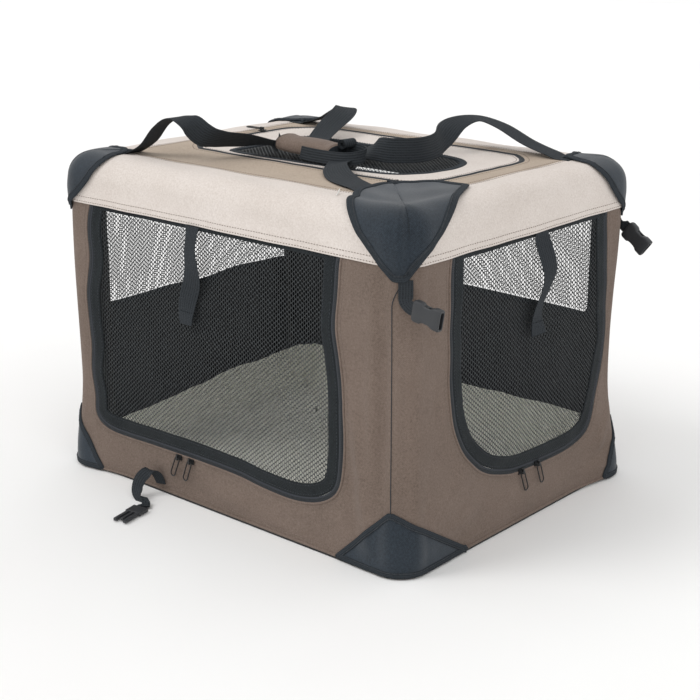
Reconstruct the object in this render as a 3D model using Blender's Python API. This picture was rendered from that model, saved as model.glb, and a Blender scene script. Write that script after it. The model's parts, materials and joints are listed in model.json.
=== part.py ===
"""Soft folding dog crate: fabric walls and roof on a tube frame that folds flat.

Metres, +Z up. The origin is the middle of the footprint on the floor. The long front door faces -Y and
the short right door faces +X.
"""

import math
from typing import NamedTuple

import bmesh
import bpy
from mathutils import Matrix, Vector

# Overall sizes
LENGTH = 0.700
WIDTH = 0.550
HEIGHT = 0.515
CORNER_RADIUS = 0.042
ROLL_RADIUS = 0.032
GAP = 0.0003
OVERRUN = 0.004

# Fabric layers
WALL_THICKNESS = 0.002
LAYER_THICKNESS = 0.0015
LAYER_GAP = 0.0004
BOARD_THICKNESS = 0.003
BAND_DEPTH = 0.071
BAND_LOW = HEIGHT - BAND_DEPTH
WALL_TOP_DROP = 0.037
WALL_TOP = HEIGHT - WALL_TOP_DROP
SEAM_INSET = 0.065
SEAM_CORNER_RADIUS = 0.002
CORNER_STEPS = 6
ROLL_STEPS = 5

# Tube frame
TUBE_RADIUS = 0.008
TUBE_SIDES = 10
TUBE_BEND = 0.030
TUBE_BEND_STEPS = 5
FRAME_INSET = 0.020
FRAME_PLANE_X = LENGTH / 2 - FRAME_INSET
RIGHT_LEG_INSET = 0.035
RIGHT_LEG_Y = WIDTH / 2 - RIGHT_LEG_INSET
LEFT_LEG_INSET = 0.057
LEFT_LEG_Y = WIDTH / 2 - LEFT_LEG_INSET
RIGHT_PIVOT_Z = 0.050
LEFT_PIVOT_Z = 0.033
LEG_OVERHANG = 0.010
CROSSBAR_DROP = 0.0205

# Pivot brackets and clips
PIN_RADIUS = 0.003
PIN_CLEARANCE = 0.0003
PIN_HEAD_RADIUS = 0.0055
PIN_HEAD = 0.002
BRACKET_THICKNESS = 0.006
BRACKET_BACK = 0.014
BRACKET_CREST = 0.009
CLIP_WALL = 0.0035
CLIP_WIDTH = 0.030
CLIP_SLOT = 0.007
ROUND_STEPS = 20

# Doors, windows and their zips
ZIP_WIDTH = 0.008
ZIP_PROUD = 0.0012
ZIP_DEEP = 0.0005
HEM_WIDTH = 0.018
NET_BAR = 0.004
ARC_STEPS = 5
FRONT_DOOR_LEFT_INSET = 0.054
FRONT_DOOR_LEFT = FRONT_DOOR_LEFT_INSET - LENGTH / 2
FRONT_DOOR_RIGHT_INSET = 0.113
FRONT_DOOR_RIGHT = LENGTH / 2 - FRONT_DOOR_RIGHT_INSET
FRONT_DOOR_BOTTOM = 0.066
FRONT_DOOR_LEFT_RADIUS = 0.045
FRONT_DOOR_RIGHT_RADIUS = 0.060
RIGHT_DOOR_NEAR_INSET = 0.089
RIGHT_DOOR_NEAR = RIGHT_DOOR_NEAR_INSET - WIDTH / 2
RIGHT_DOOR_FAR_INSET = 0.055
RIGHT_DOOR_FAR = WIDTH / 2 - RIGHT_DOOR_FAR_INSET
RIGHT_DOOR_BOTTOM = 0.080
RIGHT_DOOR_NEAR_RADIUS = 0.125
RIGHT_DOOR_FAR_RADIUS = 0.060
FRONT_NET_COLUMNS = 12
FRONT_NET_ROWS = 7
RIGHT_NET_COLUMNS = 9
RIGHT_NET_ROWS = 7
WINDOW_BOTTOM = 0.248
WINDOW_TOP_GAP = 0.004
WINDOW_TOP = BAND_LOW - WINDOW_TOP_GAP
WINDOW_RADIUS = 0.018
WINDOW_BINDING = 0.009
BACK_WINDOW_LOW_INSET = 0.130
BACK_WINDOW_LOW_X = BACK_WINDOW_LOW_INSET - LENGTH / 2
BACK_WINDOW_HIGH_INSET = 0.060
BACK_WINDOW_HIGH_X = LENGTH / 2 - BACK_WINDOW_HIGH_INSET
LEFT_WINDOW_LOW_INSET = 0.071
LEFT_WINDOW_LOW_Y = LEFT_WINDOW_LOW_INSET - WIDTH / 2
LEFT_WINDOW_HIGH_INSET = 0.035
LEFT_WINDOW_HIGH_Y = WIDTH / 2 - LEFT_WINDOW_HIGH_INSET
BACK_NET_COLUMNS = 12
BACK_NET_ROWS = 4
LEFT_NET_COLUMNS = 11
LEFT_NET_ROWS = 4

# Roof flap
FLAP_LEFT_INSET = 0.088
FLAP_LEFT = FLAP_LEFT_INSET - LENGTH / 2
FLAP_RIGHT_INSET = 0.112
FLAP_RIGHT = LENGTH / 2 - FLAP_RIGHT_INSET
FLAP_FRONT_INSET = 0.160
FLAP_FRONT = FLAP_FRONT_INSET - WIDTH / 2
FLAP_BACK_INSET = 0.085
FLAP_BACK = WIDTH / 2 - FLAP_BACK_INSET
FLAP_RADIUS = 0.070
NET_LEFT_MARGIN = 0.092
NET_LEFT = FLAP_LEFT + NET_LEFT_MARGIN
NET_RIGHT_MARGIN = 0.048
NET_RIGHT = FLAP_RIGHT - NET_RIGHT_MARGIN
NET_FRONT_MARGIN = 0.040
NET_FRONT = FLAP_FRONT + NET_FRONT_MARGIN
NET_BACK_MARGIN = 0.085
NET_BACK = FLAP_BACK - NET_BACK_MARGIN
ROOF_NET_COLUMNS = 10
ROOF_NET_ROWS = 5

# Corner caps
TOP_CAP_ALONG_X = 0.101
TOP_CAP_ALONG_Y = 0.132
TOP_CAP_DEPTH = 0.087
TOP_CAP_TIP_Z = HEIGHT - TOP_CAP_DEPTH
TOP_CAP_BULGE = 0.062
TOP_CAP_TIP_HALF = 0.010
BOTTOM_CAP_HEIGHT = 0.092
BOTTOM_CAP_TIP_HALF = 0.009
BOTTOM_CAP_BOW = 0.006
# How far each bottom cap reaches along X and along Y from its corner
BOTTOM_CAP_REACHES = {
    "front_right": (0.128, 0.148), "front_left": (0.080, 0.110), "back_right": (0.110, 0.060),
    "back_left": (0.110, 0.110)}

# Floor mat
MAT_INSET_X = 0.035
MAT_HALF_X = LENGTH / 2 - MAT_INSET_X
MAT_INSET_Y = 0.025
MAT_HALF_Y = WIDTH / 2 - MAT_INSET_Y
MAT_RADIUS = 0.045
MAT_BASE = 0.022
MAT_CROWN = 0.005
MAT_RIM_HEIGHT = 0.084
MAT_RIM_WIDTH = 0.046
MAT_RIM_THICKNESS = 0.016
MAT_BACK_RISE_SHARE = 0.18
MAT_FRONT_DROP_SHARE = 0.40
MAT_RING_INSETS = (0.193, 0.101, 0.060, 0.0442, 0.0331, 0.0230, 0.0120, 0.0046, 0.0018, 0.0005)
MAT_EDGE_SHARE = 0.5

# Webbing
HANDLE_WIDTH = 0.038
HANDLE_THICKNESS = 0.0018
HANDLE_FOLD_Y = 0.2235
TIE_WIDTH = 0.030
TIE_THICKNESS = 0.0015
BUCKLE_STRAP_WIDTH = 0.020
BUCKLE_STRAP_THICKNESS = 0.0018
SPAN_STEPS = 4

# Padded grip
GRIP_WIDTH = 0.046
GRIP_HEIGHT = 0.018
GRIP_CLEARANCE = 0.0004
GRIP_ROUND = 0.0085
GRIP_STEPS = 5
GRIP_FIRST_STATION = 42
GRIP_LAST_STATION = 55

# Buckles
FEMALE_LENGTH = 0.046
FEMALE_WIDTH = 0.030
FEMALE_DEPTH = 0.011
SOCKET_LENGTH = 0.024
SOCKET_WIDTH = 0.023
SOCKET_DEPTH = 0.0065
PRONG_WINDOW_LENGTH = 0.010
PRONG_WINDOW_DEPTH = 0.0040
STRAP_POCKET_LENGTH = 0.008
STRAP_CLEARANCE = 0.0004
BUCKLE_EDGE = 0.0020
MALE_BASE_LENGTH = 0.022
MALE_WIDTH = 0.027
MALE_DEPTH = 0.006
PRONG_LENGTH = 0.032
PRONG_WIDTH = 0.0055
PRONG_DEPTH = 0.0045
TONGUE_WIDTH = 0.0045
FLOOR_CLEARANCE = 0.0005

# Zip sliders and their wire pulls
SLIDER_LENGTH = 0.012
SLIDER_HEIGHT = 0.0040
BRIDGE_LENGTH = 0.007
BRIDGE_HEIGHT = 0.0048
BRIDGE_WIDTH = 0.0030
BRIDGE_THICKNESS = 0.0011
PULL_LENGTH = 0.036
PULL_WIDTH = 0.011
PULL_WIRE = 0.0010
PULL_SIDES = 6
PULL_STEPS = 5
PULL_REACH = 0.0006


# Routes of the handles' middle lines, chosen by hand, as (x, y, height over the root), and width directions
FRONT_HANDLE_ROUTE = (
    (-0.292, -0.204, 0.0000), (-0.262, -0.202, 0.0005), (-0.232, -0.199, 0.0160), (-0.205, -0.196, 0.0450),
    (-0.178, -0.192, 0.0600), (-0.155, -0.184, 0.0540), (-0.140, -0.168, 0.0350), (-0.128, -0.146, 0.0270),
    (-0.112, -0.110, 0.0220), (-0.098, -0.070, 0.0150), (-0.086, -0.052, 0.0125), (-0.060, -0.050, 0.0105),
    (-0.020, -0.052, 0.0095), (0.020, -0.054, 0.0095), (0.050, -0.056, 0.0085), (0.078, -0.070, 0.0030),
    (0.106, -0.095, 0.0000), (0.150, -0.130, 0.0000), (0.195, -0.162, 0.0000), (0.262, -0.196, 0.0000),
    (0.292, -0.204, 0.0000))
FRONT_HANDLE_WIDTHS = (
    (0, 1, 0), (0, 1, 0), (0, 1, 0.1), (0, 1, 0.1), (0.1, 1, 0), (0.35, 1, 0), (0.8, 1, 0.2), (1, 0.9, 0.4),
    (1, 0.5, 0.5), (1, 0.3, 0.2), (0.6, 1, 0), (0.1, 1, 0), (0, 1, 0), (0, 1, 0), (0, 1, 0), (0.3, 1, 0),
    (0.6, 0.8, 0), (0.6, 0.8, 0), (0.5, 0.9, 0), (0.2, 1, 0), (0, 1, 0))
REAR_HANDLE_ROUTE = (
    (-0.292, 0.204, 0.0000), (-0.262, 0.203, 0.0005), (-0.225, 0.200, 0.0100), (-0.190, 0.194, 0.0260),
    (-0.158, 0.184, 0.0360), (-0.136, 0.150, 0.0300), (-0.118, 0.100, 0.0130), (-0.096, 0.045, 0.0040),
    (-0.064, 0.008, 0.0020), (-0.020, -0.004, 0.0020), (0.020, -0.004, 0.0020), (0.060, 0.006, 0.0030),
    (0.090, 0.040, 0.0060), (0.104, 0.090, 0.0120), (0.112, 0.140, 0.0260), (0.128, 0.178, 0.0400),
    (0.155, 0.192, 0.0450), (0.190, 0.197, 0.0360), (0.225, 0.201, 0.0150), (0.262, 0.203, 0.0005),
    (0.292, 0.204, 0.0000))
REAR_HANDLE_WIDTHS = (
    (0, 1, 0), (0, 1, 0), (0, 1, 0), (0.1, 1, 0), (0.4, 1, 0), (1, 0.6, 0), (1, 0.3, 0), (1, 0.5, 0),
    (0.5, 1, 0), (0, 1, 0), (0, 1, 0), (-0.5, 1, 0), (-1, 0.5, 0), (-1, 0.2, 0), (-1, 0.4, 0), (-0.5, 1, 0),
    (-0.1, 1, 0), (0, 1, 0), (0, 1, 0), (0, 1, 0), (0, 1, 0))

# Hanging of a door tie, as (sideways, height over the tie's end, distance out), a share of its length each
TIE_LENGTH = 0.150
TIE_ROUTE_SHARES = (
    (0.000, 1.00, 0.008), (0.000, 0.92, 0.020), (0.020, 0.76, 0.070), (0.055, 0.60, 0.085),
    (0.030, 0.44, 0.060), (-0.045, 0.28, 0.040), (-0.080, 0.14, 0.040), (-0.075, 0.00, 0.055))
FRONT_TIE_X = -0.051
RIGHT_TIE_Y = 0.028

# Female buckles: how far their straps drop and swell out before the socket, and its tilt down
FRONT_STRAP_DROP = 0.020
BACK_STRAP_DROP = 0.006
STRAP_BEND = 0.0135
STRAP_ROOT_DROP = 0.0009
STRAP_LIFT = 0.0025
STRAP_SWELL = 0.0065
STRAP_TAIL = 0.006
FRONT_BUCKLE_TILT = math.radians(10)
BACK_BUCKLE_TILT = math.radians(38)

# Route of the front male strap's middle line, chosen by hand: x, distance out from the wall, height
MALE_ROUTE = (
    (-0.160, 0.0008, 0.0220), (-0.160, 0.0100, 0.0222), (-0.165, 0.0250, 0.0190), (-0.158, 0.0380, 0.0120),
    (-0.140, 0.0470, 0.0065), (-0.122, 0.0550, 0.0045), (-0.112, 0.0640, 0.0043))
MALE_WIDTHS = (
    (1, 0, 0), (1, 0, 0), (1, -0.1, 0), (0.8, -0.6, 0), (0.7, -0.8, 0), (0.8, -0.5, 0), (1, -0.2, 0))
MALE_HEADING = math.radians(-78)

# Sliders: their place along the side and how their pulls lean
FRONT_SLIDERS = (("front_left", -0.097, -0.42), ("front_right", -0.070, -0.38))
RIGHT_SLIDERS = (("right_near", -0.004, 0.40), ("right_far", 0.038, 0.38))
ROOF_SLIDER_Y = 0.080


class Side(NamedTuple):
    """One upright side of the crate: its direction along, its outward direction and its half sizes."""

    along: Vector
    outward: Vector
    half_length: float
    distance: float

    def place(self, s, z, out):
        """The point at s along the side and out from its face, following the rounded corners."""
        straight = self.half_length - CORNER_RADIUS
        if abs(s) <= straight:
            return self.along * s + self.outward * (self.distance + out) + Vector((0, 0, z))
        turn = (abs(s) - straight) / CORNER_RADIUS
        reach = straight + (CORNER_RADIUS + out) * math.sin(turn)
        depth = self.distance - CORNER_RADIUS + (CORNER_RADIUS + out) * math.cos(turn)
        return self.along * math.copysign(reach, s) + self.outward * depth + Vector((0, 0, z))

    def ends(self):
        """How far the side reaches, half way round a corner less half a gap."""
        return self.half_length - CORNER_RADIUS + CORNER_RADIUS * math.pi / 4 - GAP / 2


X_AXIS, Y_AXIS, Z_AXIS = Vector((1, 0, 0)), Vector((0, 1, 0)), Vector((0, 0, 1))
SIDES = {
    "front": Side(X_AXIS, -Y_AXIS, LENGTH / 2, WIDTH / 2),
    "right": Side(Y_AXIS, X_AXIS, WIDTH / 2, LENGTH / 2),
    "back": Side(-X_AXIS, Y_AXIS, LENGTH / 2, WIDTH / 2),
    "left": Side(-Y_AXIS, -X_AXIS, WIDTH / 2, LENGTH / 2),
}


class Opening(NamedTuple):
    """A door or flap opening in the plane of its panel, rounded at its lower corners."""

    low: float
    high: float
    bottom: float
    low_radius: float
    high_radius: float

    def path(self, inset, top):
        """The edge from the top at the low side, down, along the bottom and up the high side."""
        left = arc(self.low + self.low_radius, self.bottom + self.low_radius,
                   self.low_radius - inset, math.pi, 1.5 * math.pi, ARC_STEPS)
        right = arc(self.high - self.high_radius, self.bottom + self.high_radius,
                    self.high_radius - inset, 1.5 * math.pi, 2 * math.pi, ARC_STEPS)
        return [(self.low + inset, top), *left, *right, (self.high - inset, top)]


FRONT_DOOR = Opening(FRONT_DOOR_LEFT, FRONT_DOOR_RIGHT, FRONT_DOOR_BOTTOM,
                     FRONT_DOOR_LEFT_RADIUS, FRONT_DOOR_RIGHT_RADIUS)
RIGHT_DOOR = Opening(RIGHT_DOOR_NEAR, RIGHT_DOOR_FAR, RIGHT_DOOR_BOTTOM,
                     RIGHT_DOOR_NEAR_RADIUS, RIGHT_DOOR_FAR_RADIUS)

# Heights and depths that several pieces share
WALL_BOTTOM = BOARD_THICKNESS + GAP
BAND_OUT = (LAYER_GAP, LAYER_GAP + LAYER_THICKNESS)
CAP_OUT = (2 * LAYER_GAP + LAYER_THICKNESS, 2 * (LAYER_GAP + LAYER_THICKNESS))
ROOF_UNDER = HEIGHT + BAND_OUT[0]
ROOF_OVER = HEIGHT + BAND_OUT[1]
CAP_OVER = HEIGHT + CAP_OUT[1]
DOOR_TOP = BAND_LOW - GAP
HANDLE_UNDER = CAP_OVER + GAP
HANDLE_ROOT_Z = HANDLE_UNDER + HANDLE_THICKNESS / 2
BASE_RING_INSET = WALL_THICKNESS + GAP + TUBE_RADIUS
BASE_RING_Z = BOARD_THICKNESS + GAP + TUBE_RADIUS
ROLL_REACH = (ROLL_RADIUS + LAYER_GAP - GAP - TUBE_RADIUS) * math.sin(math.pi / 4)
TOP_RING_INSET = ROLL_RADIUS - ROLL_REACH
TOP_RING_Z = HEIGHT - ROLL_RADIUS + ROLL_REACH
CROSSBAR_Z = TOP_RING_Z - CROSSBAR_DROP
TOP_RING_END_X = LENGTH / 2 - TOP_RING_INSET

# Colour, roughness and metallic value of each material
FINISHES = {
    "taupe_fabric": ((0.205, 0.150, 0.122), 0.90, 0.0),
    "cream_fabric": ((0.720, 0.640, 0.580), 0.90, 0.0),
    "slate_fabric": ((0.045, 0.055, 0.068), 0.85, 0.0),
    "black_net": ((0.012, 0.012, 0.014), 0.80, 0.0),
    "webbing": ((0.040, 0.045, 0.050), 0.85, 0.0),
    "zip_tape": ((0.030, 0.034, 0.042), 0.70, 0.0),
    "fleece": ((0.700, 0.690, 0.600), 0.95, 0.0),
    "black_plastic": ((0.015, 0.015, 0.016), 0.40, 0.0),
    "steel_tube": ((0.060, 0.060, 0.065), 0.35, 0.9),
    "base_board": ((0.030, 0.030, 0.032), 0.80, 0.0),
}


def clear_scene():
    for thing in list(bpy.data.objects):
        bpy.data.objects.remove(thing, do_unlink=True)


def material_for(name, finish):
    """A material of the object's own, with the finish's colour, roughness and metallic value."""
    colour, roughness, metallic = FINISHES[finish]
    material = bpy.data.materials.new(name)
    material.use_nodes = True
    shader = material.node_tree.nodes["Principled BSDF"]
    shader.inputs["Base Color"].default_value = (*colour, 1.0)
    shader.inputs["Roughness"].default_value = roughness
    shader.inputs["Metallic"].default_value = metallic
    return material


def add(name, shape, finish, origin=Vector(), smooth=False):
    """Puts a finished shape in the scene as an object, with its origin where it turns or sits."""
    bmesh.ops.translate(shape, verts=shape.verts, vec=-origin)
    mesh = bpy.data.meshes.new(name)
    shape.to_mesh(mesh)
    shape.free()
    if smooth:
        mesh.shade_smooth()
        mesh.set_sharp_from_angle(angle=math.radians(40))
    mesh.materials.append(material_for(name, finish))
    made = bpy.data.objects.new(name, mesh)
    made.location = origin
    bpy.context.collection.objects.link(made)
    return made


# Outlines

def arc(centre_x, centre_y, radius, start, end, steps):
    """Points on an arc in a plane, both ends included."""
    turns = (start + (end - start) * i / steps for i in range(steps + 1))
    return [(centre_x + radius * math.cos(t), centre_y + radius * math.sin(t)) for t in turns]


def rounded(low_x, high_x, low_y, high_y, radius, steps=ARC_STEPS):
    """A rectangle with rounded corners, counter-clockwise."""
    quarter = math.pi / 2
    corners = ((high_x - radius, low_y + radius, -quarter), (high_x - radius, high_y - radius, 0),
               (low_x + radius, high_y - radius, quarter), (low_x + radius, low_y + radius, math.pi))
    points = []
    for x, y, start in corners:
        points += arc(x, y, radius, start, start + quarter, steps)
    return points


def grid_holes(low_x, high_x, low_y, high_y, columns, rows, bar=NET_BAR):
    """The square gaps of a net inside a rectangle, with a bar between each two."""
    step_x, step_y = (high_x - low_x + bar) / columns, (high_y - low_y + bar) / rows
    holes = []
    for column in range(columns):
        for row in range(rows):
            x, y = low_x + column * step_x, low_y + row * step_y
            holes.append([(x, y), (x + step_x - bar, y),
                          (x + step_x - bar, y + step_y - bar), (x, y + step_y - bar)])
    return holes


def inside(hole, edge_test):
    return all(edge_test(x, y) for x, y in hole)


# Solids

def filled(outline, holes=()):
    """Flat faces bounded by an outline and holes."""
    flat = bmesh.new()
    for loop in (outline, *holes):
        corners = [flat.verts.new((x, y, 0)) for x, y in loop]
        for a, b in zip(corners, corners[1:] + corners[:1]):
            flat.edges.new((a, b))
    bmesh.ops.triangle_fill(flat, edges=flat.edges[:], use_beauty=True, use_dissolve=False)
    return flat


def cut_lines(flat, values, direction):
    """Adds straight cuts across flat faces, so that they can bend there."""
    for value in values:
        bmesh.ops.bisect_plane(flat, geom=flat.verts[:] + flat.edges[:] + flat.faces[:],
                               plane_co=direction * value, plane_no=direction)


def slab(flat, place, low, high):
    """A closed sheet over flat faces: place(x, y, depth) gives each point of its two skins."""
    solid = bmesh.new()
    skins = {}
    for vertex in flat.verts:
        skins[vertex] = [solid.verts.new(place(vertex.co.x, vertex.co.y, d)) for d in (low, high)]
    for face in flat.faces:
        solid.faces.new([skins[v][1] for v in face.verts])
        solid.faces.new([skins[v][0] for v in reversed(face.verts)])
    for edge in flat.edges:
        if len(edge.link_faces) == 1:
            a, b = edge.verts
            solid.faces.new([skins[a][0], skins[b][0], skins[b][1], skins[a][1]])
    flat.free()
    bmesh.ops.recalc_face_normals(solid, faces=solid.faces[:])
    return solid


def grid_sheet(rows):
    """A closed sheet from rows of (inner point, outer point) pairs."""
    solid = bmesh.new()
    skins = [[[solid.verts.new(pair[k]) for pair in row] for row in rows] for k in (0, 1)]
    last_row, last_column = len(rows) - 1, len(rows[0]) - 1
    for skin in skins:
        for i in range(last_row):
            for j in range(last_column):
                solid.faces.new((skin[i][j], skin[i + 1][j], skin[i + 1][j + 1], skin[i][j + 1]))
    inner, outer = skins
    for i in (0, last_row):
        for j in range(last_column):
            solid.faces.new((inner[i][j], inner[i][j + 1], outer[i][j + 1], outer[i][j]))
    for j in (0, last_column):
        for i in range(last_row):
            solid.faces.new((inner[i][j], inner[i + 1][j], outer[i + 1][j], outer[i][j]))
    bmesh.ops.recalc_face_normals(solid, faces=solid.faces[:])
    return solid


def block(low, high, bevel=0.0):
    """A box between two corners, with its edges broken if a bevel is given."""
    solid = bmesh.new()
    low, high = Vector(low), Vector(high)
    size, middle = high - low, (low + high) / 2
    bmesh.ops.create_cube(solid, size=1, matrix=Matrix.Translation(middle) @ Matrix.Diagonal((*size, 1)))
    if bevel:
        bmesh.ops.bevel(solid, geom=solid.edges[:], offset=bevel, segments=2, profile=0.5,
                        affect="EDGES", clamp_overlap=True)
    return solid


def rod(centre, axis, radius, length, sides=ROUND_STEPS):
    """A round bar about its centre."""
    solid = bmesh.new()
    turn = Z_AXIS.rotation_difference(axis).to_matrix().to_4x4()
    bmesh.ops.create_cone(solid, cap_ends=True, segments=sides, radius1=radius, radius2=radius,
                          depth=length, matrix=Matrix.Translation(centre) @ turn)
    return solid


def boolean(first, second, operation):
    """Joins, cuts or intersects two shapes and frees them."""
    objects = []
    for shape in (first, second):
        mesh = bpy.data.meshes.new("tool")
        shape.to_mesh(mesh)
        shape.free()
        objects.append(bpy.data.objects.new("tool", mesh))
        bpy.context.collection.objects.link(objects[-1])
    modifier = objects[0].modifiers.new("tool", "BOOLEAN")
    modifier.object, modifier.operation = objects[1], operation
    graph = bpy.context.evaluated_depsgraph_get()
    result = bmesh.new()
    result.from_mesh(objects[0].evaluated_get(graph).to_mesh())
    for tool in objects:
        bpy.data.objects.remove(tool, do_unlink=True)
    return result


def along(points, across, closed=False):
    """A station (centre, side, normal) at each point of a path; across lies along the section's width."""
    count = len(points)
    found = []
    for i, point in enumerate(points):
        before = points[i - 1] if closed or i else point
        after = points[(i + 1) % count] if closed or i < count - 1 else point
        tangent = (after - before).normalized()
        width = across[i] if isinstance(across, list) else across
        side = (width - tangent * width.dot(tangent)).normalized()
        found.append((point, side, side.cross(tangent)))
    return found


def swept(section, stations, closed=False):
    """A solid bar whose section is carried through the stations."""
    solid = bmesh.new()
    rings = [[solid.verts.new(centre + side * a + normal * b) for a, b in section]
             for centre, side, normal in stations]
    sides = len(section)
    for i in range(len(rings) if closed else len(rings) - 1):
        here, there = rings[i], rings[(i + 1) % len(rings)]
        for j in range(sides):
            k = (j + 1) % sides
            solid.faces.new((here[j], here[k], there[k], there[j]))
    if not closed:
        solid.faces.new(rings[0])
        solid.faces.new(rings[-1])
    bmesh.ops.recalc_face_normals(solid, faces=solid.faces[:])
    return solid


def circle(radius, sides):
    return arc(0, 0, radius, 0, 2 * math.pi, sides)[:-1]


def strip(width, thickness):
    return [(-width / 2, -thickness / 2), (width / 2, -thickness / 2),
            (width / 2, thickness / 2), (-width / 2, thickness / 2)]


def smooth_path(points, steps=SPAN_STEPS):
    """Points on a smooth curve through the given ones."""
    vectors = [Vector(p) for p in points]
    padded = [2 * vectors[0] - vectors[1], *vectors, 2 * vectors[-1] - vectors[-2]]
    found = []
    for a, b, c, d in zip(padded, padded[1:], padded[2:], padded[3:]):
        for i in range(steps):
            t = i / steps
            found.append(0.5 * (2 * b + (c - a) * t + (2 * a - 5 * b + 4 * c - d) * t ** 2
                                + (3 * b - a - 3 * c + d) * t ** 3))
    return [*found, vectors[-1]]


def mirrored(shape, flip_x, flip_y):
    """A copy of a shape, reflected in the crate's middle planes."""
    copy = shape.copy()
    scale = Vector((-1 if flip_x else 1, -1 if flip_y else 1, 1))
    bmesh.ops.scale(copy, vec=scale, verts=copy.verts)
    if flip_x != flip_y:
        bmesh.ops.reverse_faces(copy, faces=copy.faces[:])
    return copy


# Tube frame

def ring_path(inset, z, bend):
    outline = rounded(inset - LENGTH / 2, LENGTH / 2 - inset, inset - WIDTH / 2, WIDTH / 2 - inset,
                      bend, CORNER_STEPS)
    return [Vector((x, y, z)) for x, y in outline]


def ring(name, inset, z):
    path = ring_path(inset, z, CORNER_RADIUS - inset)
    add(name, swept(circle(TUBE_RADIUS, TUBE_SIDES), along(path, Z_AXIS, closed=True), closed=True),
        "steel_tube", smooth=True)


def end_frame(name, x, leg_y, pivot_z):
    """A U of tube standing on its two pivots, with a pin hole through each leg."""
    bottom, crossbar = pivot_z - LEG_OVERHANG, CROSSBAR_Z
    right = arc(leg_y - TUBE_BEND, crossbar - TUBE_BEND, TUBE_BEND, 0, math.pi / 2, TUBE_BEND_STEPS)
    left = [(-y, z) for y, z in reversed(right)]
    outline = [(leg_y, bottom), *right, *left, (-leg_y, bottom)]
    path = [Vector((x, y, z)) for y, z in outline]
    frame = swept(circle(TUBE_RADIUS, TUBE_SIDES), along(path, X_AXIS))
    for side in (-1, 1):
        hole = rod(Vector((x, side * leg_y, pivot_z)), Y_AXIS, PIN_RADIUS + PIN_CLEARANCE,
                   2 * (TUBE_RADIUS + OVERRUN))
        frame = boolean(frame, hole, "DIFFERENCE")
    add(name, frame, "steel_tube", Vector((x, 0, pivot_z)), smooth=True)


def hinge_bracket(name, x, leg_y, pivot_z, side):
    """A cheek that straddles the base ring, with the pin that the leg turns on."""
    outward = math.copysign(1, x)
    ring_x = outward * (LENGTH / 2 - BASE_RING_INSET)
    inner, outer = x - outward * BRACKET_BACK, outward * (LENGTH / 2 - WALL_THICKNESS - GAP)
    leg_face = leg_y - TUBE_RADIUS - GAP
    low_x, high_x = sorted((inner, outer))
    low_y, high_y = sorted((side * leg_face, side * (leg_face - BRACKET_THICKNESS)))
    cheek = block((low_x, low_y, BASE_RING_Z), (high_x, high_y, pivot_z + BRACKET_CREST))
    saddle = rod(Vector((ring_x, side * leg_y, BASE_RING_Z)), Y_AXIS, TUBE_RADIUS + GAP,
                 2 * (leg_y - leg_face + BRACKET_THICKNESS + OVERRUN))
    cheek = boolean(cheek, saddle, "DIFFERENCE")
    pin_start = leg_face - BRACKET_THICKNESS / 2
    pin_end = leg_y + TUBE_RADIUS + GAP
    pin = rod(Vector((x, side * (pin_start + pin_end + PIN_HEAD) / 2, pivot_z)), Y_AXIS, PIN_RADIUS,
              pin_end + PIN_HEAD - pin_start)
    head = rod(Vector((x, side * (pin_end + PIN_HEAD / 2), pivot_z)), Y_AXIS, PIN_HEAD_RADIUS, PIN_HEAD)
    pin = boolean(pin, head, "UNION")
    add(name, boolean(cheek, pin, "UNION"), "black_plastic", Vector((x, side * leg_y, pivot_z)), smooth=True)


def right_frame_clip():
    """Snaps round the right crossbar and seats against the inner side of the top ring."""
    bar = Vector((FRAME_PLANE_X, 0, CROSSBAR_Z))
    ring_middle = Vector((TOP_RING_END_X, 0, TOP_RING_Z))
    inner, outer = TUBE_RADIUS + GAP, TUBE_RADIUS + GAP + CLIP_WALL
    clip = rod(bar, Y_AXIS, outer, CLIP_WIDTH)
    shoulder = block((FRAME_PLANE_X - outer, -CLIP_WIDTH / 2, CROSSBAR_Z),
                     (TOP_RING_END_X, CLIP_WIDTH / 2, TOP_RING_Z - TUBE_RADIUS / 2))
    clip = boolean(clip, shoulder, "UNION")
    clip = boolean(clip, rod(ring_middle, Y_AXIS, inner, CLIP_WIDTH + OVERRUN), "DIFFERENCE")
    clip = boolean(clip, rod(bar, Y_AXIS, inner, CLIP_WIDTH + OVERRUN), "DIFFERENCE")
    slot = block((FRAME_PLANE_X - CLIP_SLOT / 2, -CLIP_WIDTH, CROSSBAR_Z - outer - OVERRUN),
                 (FRAME_PLANE_X + CLIP_SLOT / 2, CLIP_WIDTH, CROSSBAR_Z))
    add("right_frame_clip", boolean(clip, slot, "DIFFERENCE"), "black_plastic", bar, smooth=True)


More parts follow.
